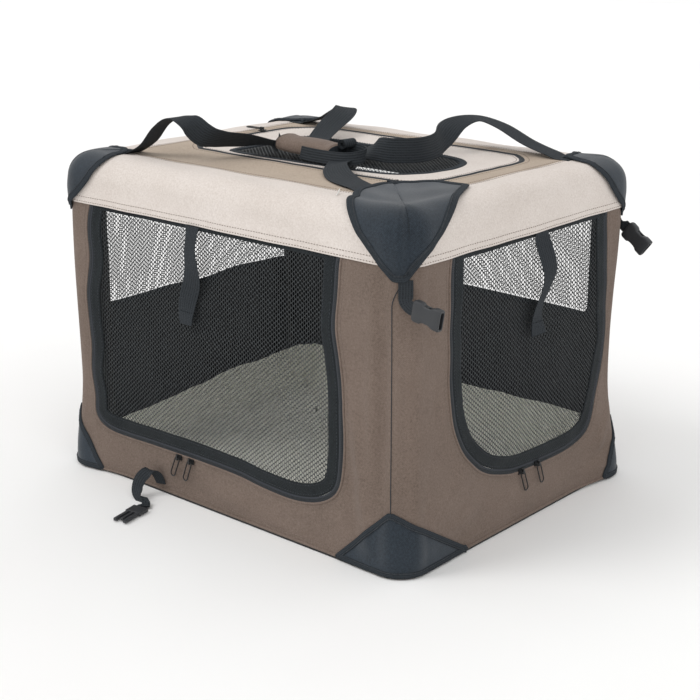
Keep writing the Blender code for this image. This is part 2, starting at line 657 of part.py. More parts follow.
def left_frame_clip():
    """Snaps round the top ring, with a jaw open inward that the left crossbar leaves when it folds."""
    bar = Vector((-FRAME_PLANE_X, 0, CROSSBAR_Z))
    ring_middle = Vector((-TOP_RING_END_X, 0, TOP_RING_Z))
    inner, outer = TUBE_RADIUS + GAP, TUBE_RADIUS + GAP + CLIP_WALL
    clip = boolean(rod(ring_middle, Y_AXIS, outer, CLIP_WIDTH), rod(bar, Y_AXIS, outer, CLIP_WIDTH), "UNION")
    clip = boolean(clip, rod(ring_middle, Y_AXIS, inner, CLIP_WIDTH + OVERRUN), "DIFFERENCE")
    clip = boolean(clip, rod(bar, Y_AXIS, inner, CLIP_WIDTH + OVERRUN), "DIFFERENCE")
    mouth = block((-FRAME_PLANE_X, -CLIP_WIDTH, CROSSBAR_Z - inner),
                  (-FRAME_PLANE_X + outer + OVERRUN, CLIP_WIDTH, CROSSBAR_Z + inner))
    clip = boolean(clip, mouth, "DIFFERENCE")
    opening = block((-TOP_RING_END_X - outer - OVERRUN, -CLIP_WIDTH, TOP_RING_Z),
                    (-TOP_RING_END_X, CLIP_WIDTH, TOP_RING_Z + outer + OVERRUN))
    clip = boolean(clip, opening, "DIFFERENCE")
    roll = rod(Vector((ROLL_RADIUS - LENGTH / 2, 0, HEIGHT - ROLL_RADIUS)), Y_AXIS,
               ROLL_RADIUS - GAP, CLIP_WIDTH + OVERRUN, 2 * ROUND_STEPS)
    add("left_frame_clip", boolean(clip, roll, "INTERSECT"), "black_plastic", ring_middle, smooth=True)


def frame():
    ring("base_ring", BASE_RING_INSET, BASE_RING_Z)
    ring("top_ring", TOP_RING_INSET, TOP_RING_Z)
    end_frame("right_end_frame", FRAME_PLANE_X, RIGHT_LEG_Y, RIGHT_PIVOT_Z)
    end_frame("left_end_frame", -FRAME_PLANE_X, LEFT_LEG_Y, LEFT_PIVOT_Z)
    for where, side in (("front", -1), ("back", 1)):
        hinge_bracket(f"right_{where}_hinge_bracket", FRAME_PLANE_X, RIGHT_LEG_Y, RIGHT_PIVOT_Z, side)
        hinge_bracket(f"left_{where}_hinge_bracket", -FRAME_PLANE_X, LEFT_LEG_Y, LEFT_PIVOT_Z, side)
    right_frame_clip()
    left_frame_clip()


# Floor

def floor_panel():
    outline = rounded(-LENGTH / 2, LENGTH / 2, -WIDTH / 2, WIDTH / 2, CORNER_RADIUS, CORNER_STEPS)
    panel = slab(filled(outline), level, 0, BOARD_THICKNESS)
    add("floor_panel", panel, "base_board")


def mat_height(x, y, inset):
    """How high the mat's top skin lies at a point, that far in from its rim."""
    rise_share = 1 + (MAT_BACK_RISE_SHARE if y > 0 else MAT_FRONT_DROP_SHARE) * y / MAT_HALF_Y
    bend = max(0.0, 1 - inset / MAT_RIM_WIDTH)
    rim = (MAT_RIM_HEIGHT - MAT_BASE) * rise_share * bend ** 2
    crown = MAT_CROWN * min(1.0, inset / MAT_HALF_Y) ** 0.5
    return MAT_BASE + rim + crown


def mat_ring(solid, inset, lift_share):
    """One loop of the mat's skin; lift_share 1 is its top and 0 its underside."""
    radius = max(MAT_RADIUS - inset, MAT_RADIUS / 4)
    outline = rounded(inset - MAT_HALF_X, MAT_HALF_X - inset, inset - MAT_HALF_Y, MAT_HALF_Y - inset, radius)
    ring_points = []
    for x, y in outline:
        top = mat_height(x, y, inset)
        under = max(WALL_BOTTOM, top - MAT_RIM_THICKNESS - MAT_BASE * min(1.0, inset / MAT_RIM_WIDTH))
        ring_points.append(solid.verts.new((x, y, under + (top - under) * lift_share)))
    return ring_points


def floor_mat():
    """A fleece pad whose crowned middle is thick and whose edge curls up along the walls."""
    solid = bmesh.new()
    rings = [mat_ring(solid, inset, 1) for inset in MAT_RING_INSETS]
    rings.append(mat_ring(solid, 0, MAT_EDGE_SHARE))
    rings += [mat_ring(solid, inset, 0) for inset in reversed(MAT_RING_INSETS)]
    for here, there in zip(rings, rings[1:]):
        for j in range(len(here)):
            k = (j + 1) % len(here)
            solid.faces.new((here[j], here[k], there[k], there[j]))
    solid.faces.new(rings[0])
    solid.faces.new(rings[-1])
    bmesh.ops.recalc_face_normals(solid, faces=solid.faces[:])
    add("floor_mat", solid, "fleece", smooth=True)


# Walls, windows and doors

def bend_lines(side):
    """Where a sheet round this side bends, from the middle of one corner to the middle of the next."""
    straight = side.half_length - CORNER_RADIUS
    step = CORNER_RADIUS * math.pi / 4 / (CORNER_STEPS / 2)
    lines = [straight + i * step for i in range(int(CORNER_STEPS / 2))]
    return lines + [-line for line in lines]


def wall(name, side, hole):
    end = side.ends()
    outline = [(-end, WALL_BOTTOM), (end, WALL_BOTTOM), (end, WALL_TOP), (-end, WALL_TOP)]
    flat = filled(outline, [hole])
    cut_lines(flat, bend_lines(side), X_AXIS)
    add(name, slab(flat, side.place, -WALL_THICKNESS, 0), "taupe_fabric", smooth=True)


def zip_strip(name, side, opening):
    outer = opening.path(GAP, DOOR_TOP)
    inner = opening.path(GAP + ZIP_WIDTH, DOOR_TOP)
    flat = filled(outer + inner[::-1])
    add(name, slab(flat, side.place, -WALL_THICKNESS - ZIP_DEEP, ZIP_PROUD), "zip_tape")


def door(name, side, opening, columns, rows):
    """A dark hem with net inside, hung from its top edge."""
    edge = 2 * GAP + ZIP_WIDTH
    inner = edge + HEM_WIDTH
    clear = Opening(opening.low + inner, opening.high - inner, opening.bottom + inner,
                    max(opening.low_radius - inner, GAP), max(opening.high_radius - inner, GAP))

    def within(x, y):
        for centre, radius, beyond in ((clear.low + clear.low_radius, clear.low_radius, -1),
                                       (clear.high - clear.high_radius, clear.high_radius, 1)):
            dx, dy = (x - centre) * beyond, clear.bottom + radius - y
            if dx > 0 and dy > 0 and math.hypot(dx, dy) > radius:
                return False
        return True

    gaps = grid_holes(clear.low, clear.high, clear.bottom, DOOR_TOP - HEM_WIDTH, columns, rows)
    flat = filled(opening.path(edge, DOOR_TOP), [hole for hole in gaps if inside(hole, within)])
    hinge = side.place((opening.low + opening.high) / 2, DOOR_TOP, 0)
    add(name, slab(flat, side.place, -WALL_THICKNESS, 0), "black_net", hinge)


def window(name, side, low, high, columns, rows):
    """A net with a bound edge, sewn into the window of a wall."""
    outline = rounded(low + GAP, high - GAP, WINDOW_BOTTOM + GAP, WINDOW_TOP - GAP, WINDOW_RADIUS - GAP)
    corner = WINDOW_RADIUS * (1 - math.sin(math.pi / 4))
    inner = WINDOW_BINDING + corner / 2
    gaps = grid_holes(low + inner, high - inner, WINDOW_BOTTOM + inner, WINDOW_TOP - inner, columns, rows)
    add(name, slab(filled(outline, gaps), side.place, -WALL_THICKNESS, 0), "black_net")


def walls():
    for where, door_of in (("front", FRONT_DOOR), ("right", RIGHT_DOOR)):
        wall(f"{where}_wall", SIDES[where], door_of.path(0, BAND_LOW))
        zip_strip(f"{where}_zip", SIDES[where], door_of)
    door("front_door", SIDES["front"], FRONT_DOOR, FRONT_NET_COLUMNS, FRONT_NET_ROWS)
    door("right_door", SIDES["right"], RIGHT_DOOR, RIGHT_NET_COLUMNS, RIGHT_NET_ROWS)
    spans = {"back": (-BACK_WINDOW_HIGH_X, -BACK_WINDOW_LOW_X, BACK_NET_COLUMNS, BACK_NET_ROWS),
             "left": (-LEFT_WINDOW_HIGH_Y, -LEFT_WINDOW_LOW_Y, LEFT_NET_COLUMNS, LEFT_NET_ROWS)}
    for where, (low, high, columns, rows) in spans.items():
        hole = rounded(low, high, WINDOW_BOTTOM, WINDOW_TOP, WINDOW_RADIUS)
        wall(f"{where}_wall", SIDES[where], hole)
        window(f"{where}_window", SIDES[where], low, high, columns, rows)


# Bands, roof and corner caps

def roll_profile(low_z, inset):
    """(inset, height, bend) down the band's section: up the wall, over the roll and in along the roof."""
    points = [(0.0, low_z, 0.0), (0.0, HEIGHT - ROLL_RADIUS, 0.0)]
    quarter = math.pi / 2
    points += [(None, None, quarter * (i + 1) / ROLL_STEPS) for i in range(ROLL_STEPS)]
    return [*points, (inset, HEIGHT, quarter)]


def profile_point(entry, out):
    """The inset and height of a profile entry, moved out from the fabric's face."""
    inset, z, turn = entry
    if inset is None:
        radius = ROLL_RADIUS + out
        return ROLL_RADIUS - radius * math.cos(turn), HEIGHT - ROLL_RADIUS + radius * math.sin(turn)
    return (-out, z) if turn == 0 else (inset, z + out)


def corner_turns(start, end, steps):
    return [start + (end - start) * i / steps for i in range(steps + 1)]


def band_point(side, inset, z, end, turn):
    """A point of a band at its straight's end, turned that far round the corner."""
    radius = max(CORNER_RADIUS - inset, SEAM_CORNER_RADIUS)
    reach = side.half_length - inset - radius + radius * math.sin(turn)
    depth = side.distance - inset - radius + radius * math.cos(turn)
    return side.along * (end * reach) + side.outward * depth + Vector((0, 0, z))


def band(name, side):
    """The broad strip round the top edge of one side, from its hem over the roll to the roof seam."""
    half_turn = math.pi / 4 - GAP / 2 / CORNER_RADIUS
    turns = corner_turns(half_turn, 0, int(CORNER_STEPS / 2))
    columns = [(-1, turn) for turn in turns] + [(1, turn) for turn in reversed(turns)]
    rows = []
    for entry in roll_profile(BAND_LOW, SEAM_INSET):
        row = []
        for end, turn in columns:
            row.append([band_point(side, *profile_point(entry, out), end, turn) for out in BAND_OUT])
        rows.append(row)
    add(name, grid_sheet(rows), "cream_fabric", smooth=True)


def level(x, y, z):
    return Vector((x, y, z))


def flap_outline(inset):
    return rounded(FLAP_LEFT + inset, FLAP_RIGHT - inset, FLAP_FRONT + inset, FLAP_BACK - inset,
                   FLAP_RADIUS - inset)


def roof():
    seam = SEAM_INSET + GAP
    outline = rounded(seam - LENGTH / 2, LENGTH / 2 - seam, seam - WIDTH / 2, WIDTH / 2 - seam,
                      SEAM_CORNER_RADIUS, 1)
    panel = filled(outline, [flap_outline(0)])
    add("roof_panel", slab(panel, level, ROOF_UNDER, ROOF_OVER), "taupe_fabric")
    tape = filled(flap_outline(GAP), [flap_outline(GAP + ZIP_WIDTH)])
    add("roof_zip", slab(tape, level, ROOF_UNDER, ROOF_OVER + ZIP_PROUD), "zip_tape")
    edge = 2 * GAP + ZIP_WIDTH
    gaps = grid_holes(NET_LEFT, NET_RIGHT, NET_FRONT, NET_BACK, ROOF_NET_COLUMNS, ROOF_NET_ROWS)
    flap = slab(filled(flap_outline(edge), gaps), level, ROOF_UNDER, ROOF_OVER)
    add("roof_flap", flap, "cream_fabric", Vector((0, FLAP_BACK - edge, ROOF_UNDER)))


def corner_patch(reach_x, reach_y, low_z, roof_inset, outs):
    """A sheet round the front right corner and over the roll, to be trimmed to a cap."""
    front, right = SIDES["front"], SIDES["right"]
    turns = corner_turns(0, math.pi / 2, CORNER_STEPS)
    rows = []
    for entry in roll_profile(low_z, roof_inset):
        pairs = []
        for out in outs:
            inset, z = profile_point(entry, out)
            radius = max(CORNER_RADIUS - inset, SEAM_CORNER_RADIUS)
            line = [Vector((front.half_length - reach_x, inset - front.distance, z))]
            for turn in turns:
                line.append(Vector((front.half_length - inset - radius + radius * math.sin(turn),
                                    inset + radius - front.distance - radius * math.cos(turn), z)))
            line.append(Vector((right.distance - inset, reach_y - right.half_length, z)))
            pairs.append(line)
        rows.append(list(zip(*pairs)))
    return grid_sheet(rows)


def prism(outline, base, across, up, through, length):
    """A bar whose outline lies in the plane of across and up, run along through."""
    flat = filled(outline)

    def place(a, b, depth):
        return base + across * a + up * b + through * depth

    return slab(flat, place, -length, length)


def top_cap_shape():
    """The triangular patch over the front right top corner, bowed out over the roof."""
    roof_reach = max(TOP_CAP_ALONG_X, TOP_CAP_ALONG_Y) + TOP_CAP_BULGE
    patch = corner_patch(roof_reach, roof_reach, TOP_CAP_TIP_Z - OVERRUN,
                         roof_reach - 2 * SEAM_CORNER_RADIUS, CAP_OUT)
    corner = Vector((LENGTH / 2, -WIDTH / 2, 0))
    slant = math.sqrt(2)
    left, right = TOP_CAP_ALONG_X / slant, TOP_CAP_ALONG_Y / slant
    above = CAP_OVER + OVERRUN
    triangle = [(-TOP_CAP_TIP_HALF, TOP_CAP_TIP_Z), (TOP_CAP_TIP_HALF, TOP_CAP_TIP_Z),
                (right, HEIGHT - ROLL_RADIUS / 2), (right, above), (-left, above),
                (-left, HEIGHT - ROLL_RADIUS / 2)]
    facing = prism(triangle, corner, Vector((1, 1, 0)).normalized(), Z_AXIS,
                   Vector((1, -1, 0)).normalized(), roof_reach * slant)
    first, last = Vector((-TOP_CAP_ALONG_X, 0)), Vector((0, TOP_CAP_ALONG_Y))
    chord = last - first
    half = chord.length / 2
    inward = Vector((-chord.y, chord.x)).normalized()
    radius = (half ** 2 + TOP_CAP_BULGE ** 2) / (2 * TOP_CAP_BULGE)
    centre = (first + last) / 2 + inward * (TOP_CAP_BULGE - radius)
    swing = math.atan2(half, radius - TOP_CAP_BULGE)
    heading = math.atan2(inward.y, inward.x)
    bow = arc(centre.x, centre.y, radius, heading - swing, heading + swing, 2 * ARC_STEPS)
    plan = [*bow, (-TOP_CAP_ALONG_X, -OVERRUN), (OVERRUN, -OVERRUN), (OVERRUN, TOP_CAP_ALONG_Y)]
    downward = prism(plan, corner, X_AXIS, Y_AXIS, Z_AXIS, 2 * HEIGHT)
    return boolean(boolean(patch, facing, "INTERSECT"), downward, "INTERSECT")


def bottom_cap_shape(along_x, along_y):
    """The patch round a bottom corner as at the front right, in the plane of the fabric before it is bent."""
    front = SIDES["front"]
    corner_arc = CORNER_RADIUS * math.pi / 2
    start, end = front.half_length - along_x, along_y - CORNER_RADIUS
    middle = front.half_length - CORNER_RADIUS + corner_arc / 2
    finish = front.half_length - CORNER_RADIUS + corner_arc + end
    tip = WALL_BOTTOM + BOTTOM_CAP_HEIGHT

    def edge(foot, top):
        points = []
        for i in range(ARC_STEPS):
            share = i / ARC_STEPS
            bow = BOTTOM_CAP_BOW * math.sin(math.pi * share)
            points.append((foot + (top - foot) * share, WALL_BOTTOM + (tip - WALL_BOTTOM) * share + bow))
        return points

    outline = [*edge(start, middle - BOTTOM_CAP_TIP_HALF), (middle - BOTTOM_CAP_TIP_HALF, tip),
               (middle + BOTTOM_CAP_TIP_HALF, tip), *edge(finish, middle + BOTTOM_CAP_TIP_HALF)[::-1]]
    flat = filled(outline)
    straight = front.half_length - CORNER_RADIUS
    cut_lines(flat, [straight + corner_arc * i / CORNER_STEPS for i in range(CORNER_STEPS + 1)], X_AXIS)

    def place(s, z, out):
        if s <= straight + corner_arc:
            return front.place(s, z, out)
        past_corner = s - straight - corner_arc
        return Vector((front.half_length + out, CORNER_RADIUS - front.distance + past_corner, z))

    return slab(flat, place, *BAND_OUT)


def caps():
    top = top_cap_shape()
    for name, flip_x, flip_y in (("front_right", False, False), ("front_left", True, False),
                                 ("back_right", False, True), ("back_left", True, True)):
        add(f"{name}_top_cap", mirrored(top, flip_x, flip_y), "slate_fabric", smooth=True)
        bottom = bottom_cap_shape(*BOTTOM_CAP_REACHES[name])
        add(f"{name}_bottom_cap", mirrored(bottom, flip_x, flip_y), "slate_fabric", smooth=True)
        bottom.free()
    top.free()


# Webbing, grip and buckles

def blended(widths, steps=SPAN_STEPS):
    return [v.normalized() for v in smooth_path(widths, steps)]


def handle_stations(route, widths):
    """The stations of a handle's webbing, which never dips under its root."""
    points = [Vector((p.x, p.y, HANDLE_ROOT_Z + max(0.0, p.z))) for p in smooth_path(route)]
    return along(points, blended(widths))


def handle(name, stations, fold_y):
    add(name, swept(strip(HANDLE_WIDTH, HANDLE_THICKNESS), stations), "webbing",
        Vector((0, fold_y, HANDLE_UNDER)), smooth=True)


def handle_grip(stations):
    """A padded sleeve wrapped round the front handle's middle."""
    half_width, half_height = GRIP_WIDTH / 2, GRIP_HEIGHT / 2
    outer = rounded(-half_width, half_width, -half_height, half_height, GRIP_ROUND, GRIP_STEPS)
    slot = strip(HANDLE_WIDTH + 2 * GRIP_CLEARANCE, HANDLE_THICKNESS + 2 * GRIP_CLEARANCE)
    sleeve = swept(outer, stations[GRIP_FIRST_STATION:GRIP_LAST_STATION])
    tunnel = swept(slot, stations[GRIP_FIRST_STATION - 1:GRIP_LAST_STATION + 1])
    add("handle_grip", boolean(sleeve, tunnel, "DIFFERENCE"), "taupe_fabric",
        Vector((0, -HANDLE_FOLD_Y, HANDLE_UNDER)), smooth=True)


def door_tie(name, side, s):
    route = []
    for sideways, height, out in TIE_ROUTE_SHARES:
        route.append(side.place(s + sideways * TIE_LENGTH, DOOR_TOP - GAP - (1 - height) * TIE_LENGTH,
                                TIE_THICKNESS + out * TIE_LENGTH))
    shape = swept(strip(TIE_WIDTH, TIE_THICKNESS), along(smooth_path(route), side.along))
    add(name, shape, "webbing", side.place(s, DOOR_TOP, 0), smooth=True)


def female_buckle_shape(tilt):
    """A socket along +X from its strap end at the origin, turned down by the tilt."""
    half_width, half_depth = FEMALE_WIDTH / 2, FEMALE_DEPTH / 2
    body = block((0, -half_depth, -half_width), (FEMALE_LENGTH, half_depth, half_width), BUCKLE_EDGE)
    socket = block((FEMALE_LENGTH - SOCKET_LENGTH, -SOCKET_DEPTH / 2, -SOCKET_WIDTH / 2),
                   (FEMALE_LENGTH + OVERRUN, SOCKET_DEPTH / 2, SOCKET_WIDTH / 2))
    middle = FEMALE_LENGTH - SOCKET_LENGTH / 2
    windows = block((middle - PRONG_WINDOW_LENGTH / 2, -PRONG_WINDOW_DEPTH / 2, -FEMALE_WIDTH),
                    (middle + PRONG_WINDOW_LENGTH / 2, PRONG_WINDOW_DEPTH / 2, FEMALE_WIDTH))
    half_strap = BUCKLE_STRAP_WIDTH / 2 + STRAP_CLEARANCE
    half_slot = BUCKLE_STRAP_THICKNESS / 2 + STRAP_CLEARANCE
    pocket = block((-OVERRUN, -half_slot, -half_strap), (STRAP_POCKET_LENGTH, half_slot, half_strap))
    for cutter in (socket, windows, pocket):
        body = boolean(body, cutter, "DIFFERENCE")
    bmesh.ops.rotate(body, verts=body.verts, cent=Vector(), matrix=Matrix.Rotation(tilt, 3, "Y"))
    return body


def female_buckle(where, tilt, drop):
    """A strap sewn under the cap's tip that turns out to the right, and its socket."""
    flip = where == "back"
    front = SIDES["front"]
    corner_turn = math.pi / 4
    corner = front.half_length - CORNER_RADIUS + CORNER_RADIUS * corner_turn
    root = front.place(corner, TOP_CAP_TIP_Z - STRAP_ROOT_DROP, GAP + BUCKLE_STRAP_THICKNESS / 2)
    tangent = (X_AXIS + Y_AXIS).normalized()
    lift = (X_AXIS - Y_AXIS).normalized() * STRAP_LIFT
    points, widths = [root, root - Z_AXIS * drop + lift], [tangent, tangent]
    turn = math.pi / 2 - tilt
    swell = front.outward * STRAP_SWELL / ARC_STEPS
    for i in range(ARC_STEPS):
        share = (i + 1) / ARC_STEPS
        yaw = corner_turn * (1 - share)
        ahead = X_AXIS * math.cos(yaw) + Y_AXIS * math.sin(yaw)
        middle = turn * (i + 0.5) / ARC_STEPS
        step = ahead * math.sin(middle) - Z_AXIS * math.cos(middle)
        points.append(points[-1] + step * STRAP_BEND * turn / ARC_STEPS + swell)
        widths.append(ahead * math.cos(turn * share) + Z_AXIS * math.sin(turn * share))
    heading = X_AXIS * math.cos(tilt) - Z_AXIS * math.sin(tilt)
    points.append(points[-1] + heading * STRAP_TAIL)
    mouth = points[-1] + heading * GAP
    points.append(points[-1] + heading * (STRAP_POCKET_LENGTH - GAP))
    widths += [widths[-1]] * 2
    strap = swept(strip(BUCKLE_STRAP_WIDTH, BUCKLE_STRAP_THICKNESS), along(points, widths))
    socket = female_buckle_shape(tilt)
    bmesh.ops.translate(socket, verts=socket.verts, vec=mouth)
    pivot = front.place(corner, TOP_CAP_TIP_Z - STRAP_ROOT_DROP, GAP + BUCKLE_STRAP_THICKNESS)
    if flip:
        pivot.y = -pivot.y
    for name, shape, finish in ((f"{where}_female_strap", strap, "webbing"),
                                (f"{where}_female_buckle", socket, "black_plastic")):
        add(name, mirrored(shape, False, flip), finish, pivot)
        shape.free()


def male_buckle_shape():
    """A plug along +X from its strap end at the origin: a ladder base, two side prongs and a tongue."""
    half_width, half_depth = MALE_WIDTH / 2, MALE_DEPTH / 2
    body = block((0, -half_width, -half_depth), (MALE_BASE_LENGTH, half_width, half_depth), BUCKLE_EDGE / 2)
    overlap = OVERRUN / 2
    tip = MALE_BASE_LENGTH + PRONG_LENGTH
    for low, high in ((-SOCKET_WIDTH / 2, -SOCKET_WIDTH / 2 + PRONG_WIDTH),
                      (SOCKET_WIDTH / 2 - PRONG_WIDTH, SOCKET_WIDTH / 2)):
        prong = block((MALE_BASE_LENGTH - overlap, low, -PRONG_DEPTH / 2), (tip, high, PRONG_DEPTH / 2),
                      BUCKLE_EDGE / 4)
        body = boolean(body, prong, "UNION")
    tongue = block((MALE_BASE_LENGTH - overlap, -TONGUE_WIDTH / 2, -PRONG_DEPTH / 2),
                   (tip - PRONG_WIDTH, TONGUE_WIDTH / 2, PRONG_DEPTH / 2), BUCKLE_EDGE / 4)
    body = boolean(body, tongue, "UNION")
    half_strap = BUCKLE_STRAP_WIDTH / 2 + STRAP_CLEARANCE
    half_slot = BUCKLE_STRAP_THICKNESS / 2 + STRAP_CLEARANCE
    pocket = block((-OVERRUN, -half_strap, -half_slot), (STRAP_POCKET_LENGTH, half_strap, half_slot))
    return boolean(body, pocket, "DIFFERENCE")


def male_buckle(where):
    """A strap sewn to the foot of the wall and its plug, laid on the floor."""
    flip = where == "back"
    points = smooth_path([(x, -WIDTH / 2 - out, z) for x, out, z in MALE_ROUTE])
    widths = blended(MALE_WIDTHS)
    heading = Vector((math.cos(MALE_HEADING), math.sin(MALE_HEADING), 0))
    mouth = points[-1] + heading * (STRAP_TAIL + GAP)
    points += [points[-1] + heading * STRAP_TAIL, mouth + heading * (STRAP_POCKET_LENGTH - 2 * GAP)]
    widths += [heading.cross(Z_AXIS)] * 2
    strap = swept(strip(BUCKLE_STRAP_WIDTH, BUCKLE_STRAP_THICKNESS), along(points, widths))
    plug = male_buckle_shape()
    bmesh.ops.rotate(plug, verts=plug.verts, cent=Vector(), matrix=Matrix.Rotation(MALE_HEADING, 3, "Z"))
    bmesh.ops.translate(plug, verts=plug.verts, vec=mouth)
    pivot = points[0] + Z_AXIS * BUCKLE_STRAP_THICKNESS / 2
    if flip:
        pivot.y = -pivot.y
    for name, shape, finish in ((f"{where}_male_strap", strap, "webbing"),
                                (f"{where}_male_buckle", plug, "black_plastic")):
        add(name, mirrored(shape, False, flip), finish, pivot)
        shape.free()


def straps():
    front_stations = handle_stations(FRONT_HANDLE_ROUTE, FRONT_HANDLE_WIDTHS)
    handle("front_handle", front_stations, -HANDLE_FOLD_Y)
    handle_grip(front_stations)
    handle("rear_handle", handle_stations(REAR_HANDLE_ROUTE, REAR_HANDLE_WIDTHS), HANDLE_FOLD_Y)
    door_tie("front_door_tie", SIDES["front"], FRONT_TIE_X)
    door_tie("right_door_tie", SIDES["right"], RIGHT_TIE_Y)
    female_buckle("front", FRONT_BUCKLE_TILT, FRONT_STRAP_DROP)
    female_buckle("back", BACK_BUCKLE_TILT, BACK_STRAP_DROP)
    for where in ("front", "back"):
        male_buckle(where)


# Zip sliders and pulls

def slider_and_pull(name, base, run, rise, hang, lean):
    """A slider astride the zip at base, with a wire loop pull through its bridge.

    run is the zip's direction, rise points away from the fabric and hang is where the loose pull points.
    """
    def local(a, b, c):
        return base + run * a + hang * b + rise * c

    def solid_block(low, high):
        shape = block(low, high)
        for vertex in shape.verts:
            vertex.co = local(*vertex.co)
        bmesh.ops.recalc_face_normals(shape, faces=shape.faces[:])
        return shape

    half_length, half_height, half_bridge = SLIDER_LENGTH / 2, SLIDER_HEIGHT / 2, BRIDGE_LENGTH / 2
    half_run = BRIDGE_WIDTH / 2
    body = solid_block((-half_length, -ZIP_WIDTH / 2, GAP), (half_length, ZIP_WIDTH / 2, half_height))
    bridge = solid_block((-half_run, -half_bridge, half_height - BRIDGE_THICKNESS / 2),
                         (half_run, half_bridge, half_height + BRIDGE_HEIGHT))
    tunnel_top = half_height + BRIDGE_HEIGHT - BRIDGE_THICKNESS
    tunnel = solid_block((-half_run - OVERRUN, BRIDGE_THICKNESS - half_bridge, half_height),
                         (half_run + OVERRUN, half_bridge - BRIDGE_THICKNESS, tunnel_top))
    body = boolean(boolean(body, bridge, "UNION"), tunnel, "DIFFERENCE")
    add(f"{name}_slider", body, "black_plastic", base)
    eye = local(0, 0, (half_height + tunnel_top) / 2)
    straight = PULL_WIDTH / 2 - PULL_WIRE
    outline = arc(0, straight, straight, math.pi, 2 * math.pi, PULL_STEPS)
    outline += arc(0, PULL_LENGTH - straight, straight, 0, math.pi, PULL_STEPS)
    down = (hang + run * lean).normalized()
    cross = down.cross(rise)
    path = [eye + cross * a + down * (b - PULL_REACH) for a, b in outline]
    loop = swept(circle(PULL_WIRE, PULL_SIDES), along(path, rise, closed=True), closed=True)
    add(f"{name}_pull", loop, "black_plastic", eye, smooth=True)


def sliders():
    for side_name, opening, entries in (("front", FRONT_DOOR, FRONT_SLIDERS),
                                        ("right", RIGHT_DOOR, RIGHT_SLIDERS)):
        side = SIDES[side_name]
        for name, s, lean in entries:
            base = side.place(s, opening.bottom + GAP + ZIP_WIDTH / 2, ZIP_PROUD)
            slider_and_pull(name, base, side.along, side.outward, -Z_AXIS, lean)
    base = Vector((FLAP_LEFT + GAP + ZIP_WIDTH / 2, ROOF_SLIDER_Y, ROOF_OVER + ZIP_PROUD))
    slider_and_pull("roof", base, Y_AXIS, Z_AXIS, -X_AXIS, 0.0)


def main():
    clear_scene()
    frame()
    floor_panel()
    floor_mat()
    walls()
    for where in SIDES:
        band(f"{where}_band", SIDES[where])
    roof()
    caps()
    straps()
    sliders()


main()
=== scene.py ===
import json
import logging
import math
from dataclasses import dataclass
from enum import Enum
from typing import Any, Callable, Sequence

import bpy
import numpy as np
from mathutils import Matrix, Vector
from mathutils.kdtree import KDTree

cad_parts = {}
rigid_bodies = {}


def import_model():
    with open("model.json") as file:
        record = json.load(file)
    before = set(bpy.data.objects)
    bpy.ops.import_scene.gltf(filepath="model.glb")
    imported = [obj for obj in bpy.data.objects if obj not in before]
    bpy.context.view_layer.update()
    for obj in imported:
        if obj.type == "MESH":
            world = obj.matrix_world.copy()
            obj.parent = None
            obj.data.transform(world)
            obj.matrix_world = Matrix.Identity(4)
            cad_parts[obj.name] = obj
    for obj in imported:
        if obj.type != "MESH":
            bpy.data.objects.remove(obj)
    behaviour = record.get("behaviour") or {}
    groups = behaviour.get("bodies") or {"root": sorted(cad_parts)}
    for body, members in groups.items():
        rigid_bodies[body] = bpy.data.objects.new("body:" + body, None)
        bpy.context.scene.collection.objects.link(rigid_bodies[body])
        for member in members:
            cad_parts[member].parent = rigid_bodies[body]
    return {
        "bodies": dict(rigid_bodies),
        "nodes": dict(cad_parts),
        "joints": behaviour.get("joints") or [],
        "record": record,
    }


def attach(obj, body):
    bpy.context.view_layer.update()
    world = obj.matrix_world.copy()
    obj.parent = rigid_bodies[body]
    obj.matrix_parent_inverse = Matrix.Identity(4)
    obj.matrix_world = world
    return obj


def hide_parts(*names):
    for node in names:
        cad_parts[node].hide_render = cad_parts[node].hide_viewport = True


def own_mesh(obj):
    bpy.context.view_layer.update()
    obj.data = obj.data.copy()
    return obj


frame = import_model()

LOG = logging.getLogger("crate")
Array = np.ndarray
Surface = Callable[[Array, Array, Any], Array]

# Sizes shared with the solids, in metres
LENGTH, WIDTH, HEIGHT = 0.7, 0.55, 0.515
CORNER_RADIUS, ROLL_RADIUS, SEAM_INSET = 0.042, 0.032, 0.065
WALL_BOTTOM, WALL_TOP, BAND_LOW, DOOR_TOP = 0.0033, 0.478, 0.444, 0.4437
ROOF_OVER, CAP_OUT, HANDLE_ROOT_Z = 0.5169, 0.0038, 0.52
BAND_RISE = HEIGHT - ROLL_RADIUS - BAND_LOW
BAND_RUN = BAND_RISE + ROLL_RADIUS * math.pi / 2 + SEAM_INSET - ROLL_RADIUS
CAP_TIP, STRAP_ROOT_DROP, GAP = 0.428, 0.0009, 0.0003
CAP_REACH = 0.262  # where along X a handle goes under the small caps
ROOF_PLY = 0.0014  # cloth of the roof, the bands and the caps
SEAM_SHIFT = 0.0165  # how far the seam of the near corner has slipped to the front
CELL_ACROSS, CELL_UP = 0.008, 0.0035  # real net cells are 2 mm, drawn coarser to show
WAVE_MM = 314.16  # a wave texture at scale 1 repeats after this length


# Finishes

def linear(colour: str) -> tuple[float, float, float, float]:
    """Turns an sRGB hex colour to linear light.

    Args:
        colour: Six hex digits after a hash.

    Returns:
        The linear red, green and blue, with an alpha of one.
    """
    parts = [int(colour[i:i + 2], 16) / 255 for i in (1, 3, 5)]
    light = [c / 12.92 if c <= 0.04045 else ((c + 0.055) / 1.055) ** 2.4 for c in parts]
    return (light[0], light[1], light[2], 1.0)


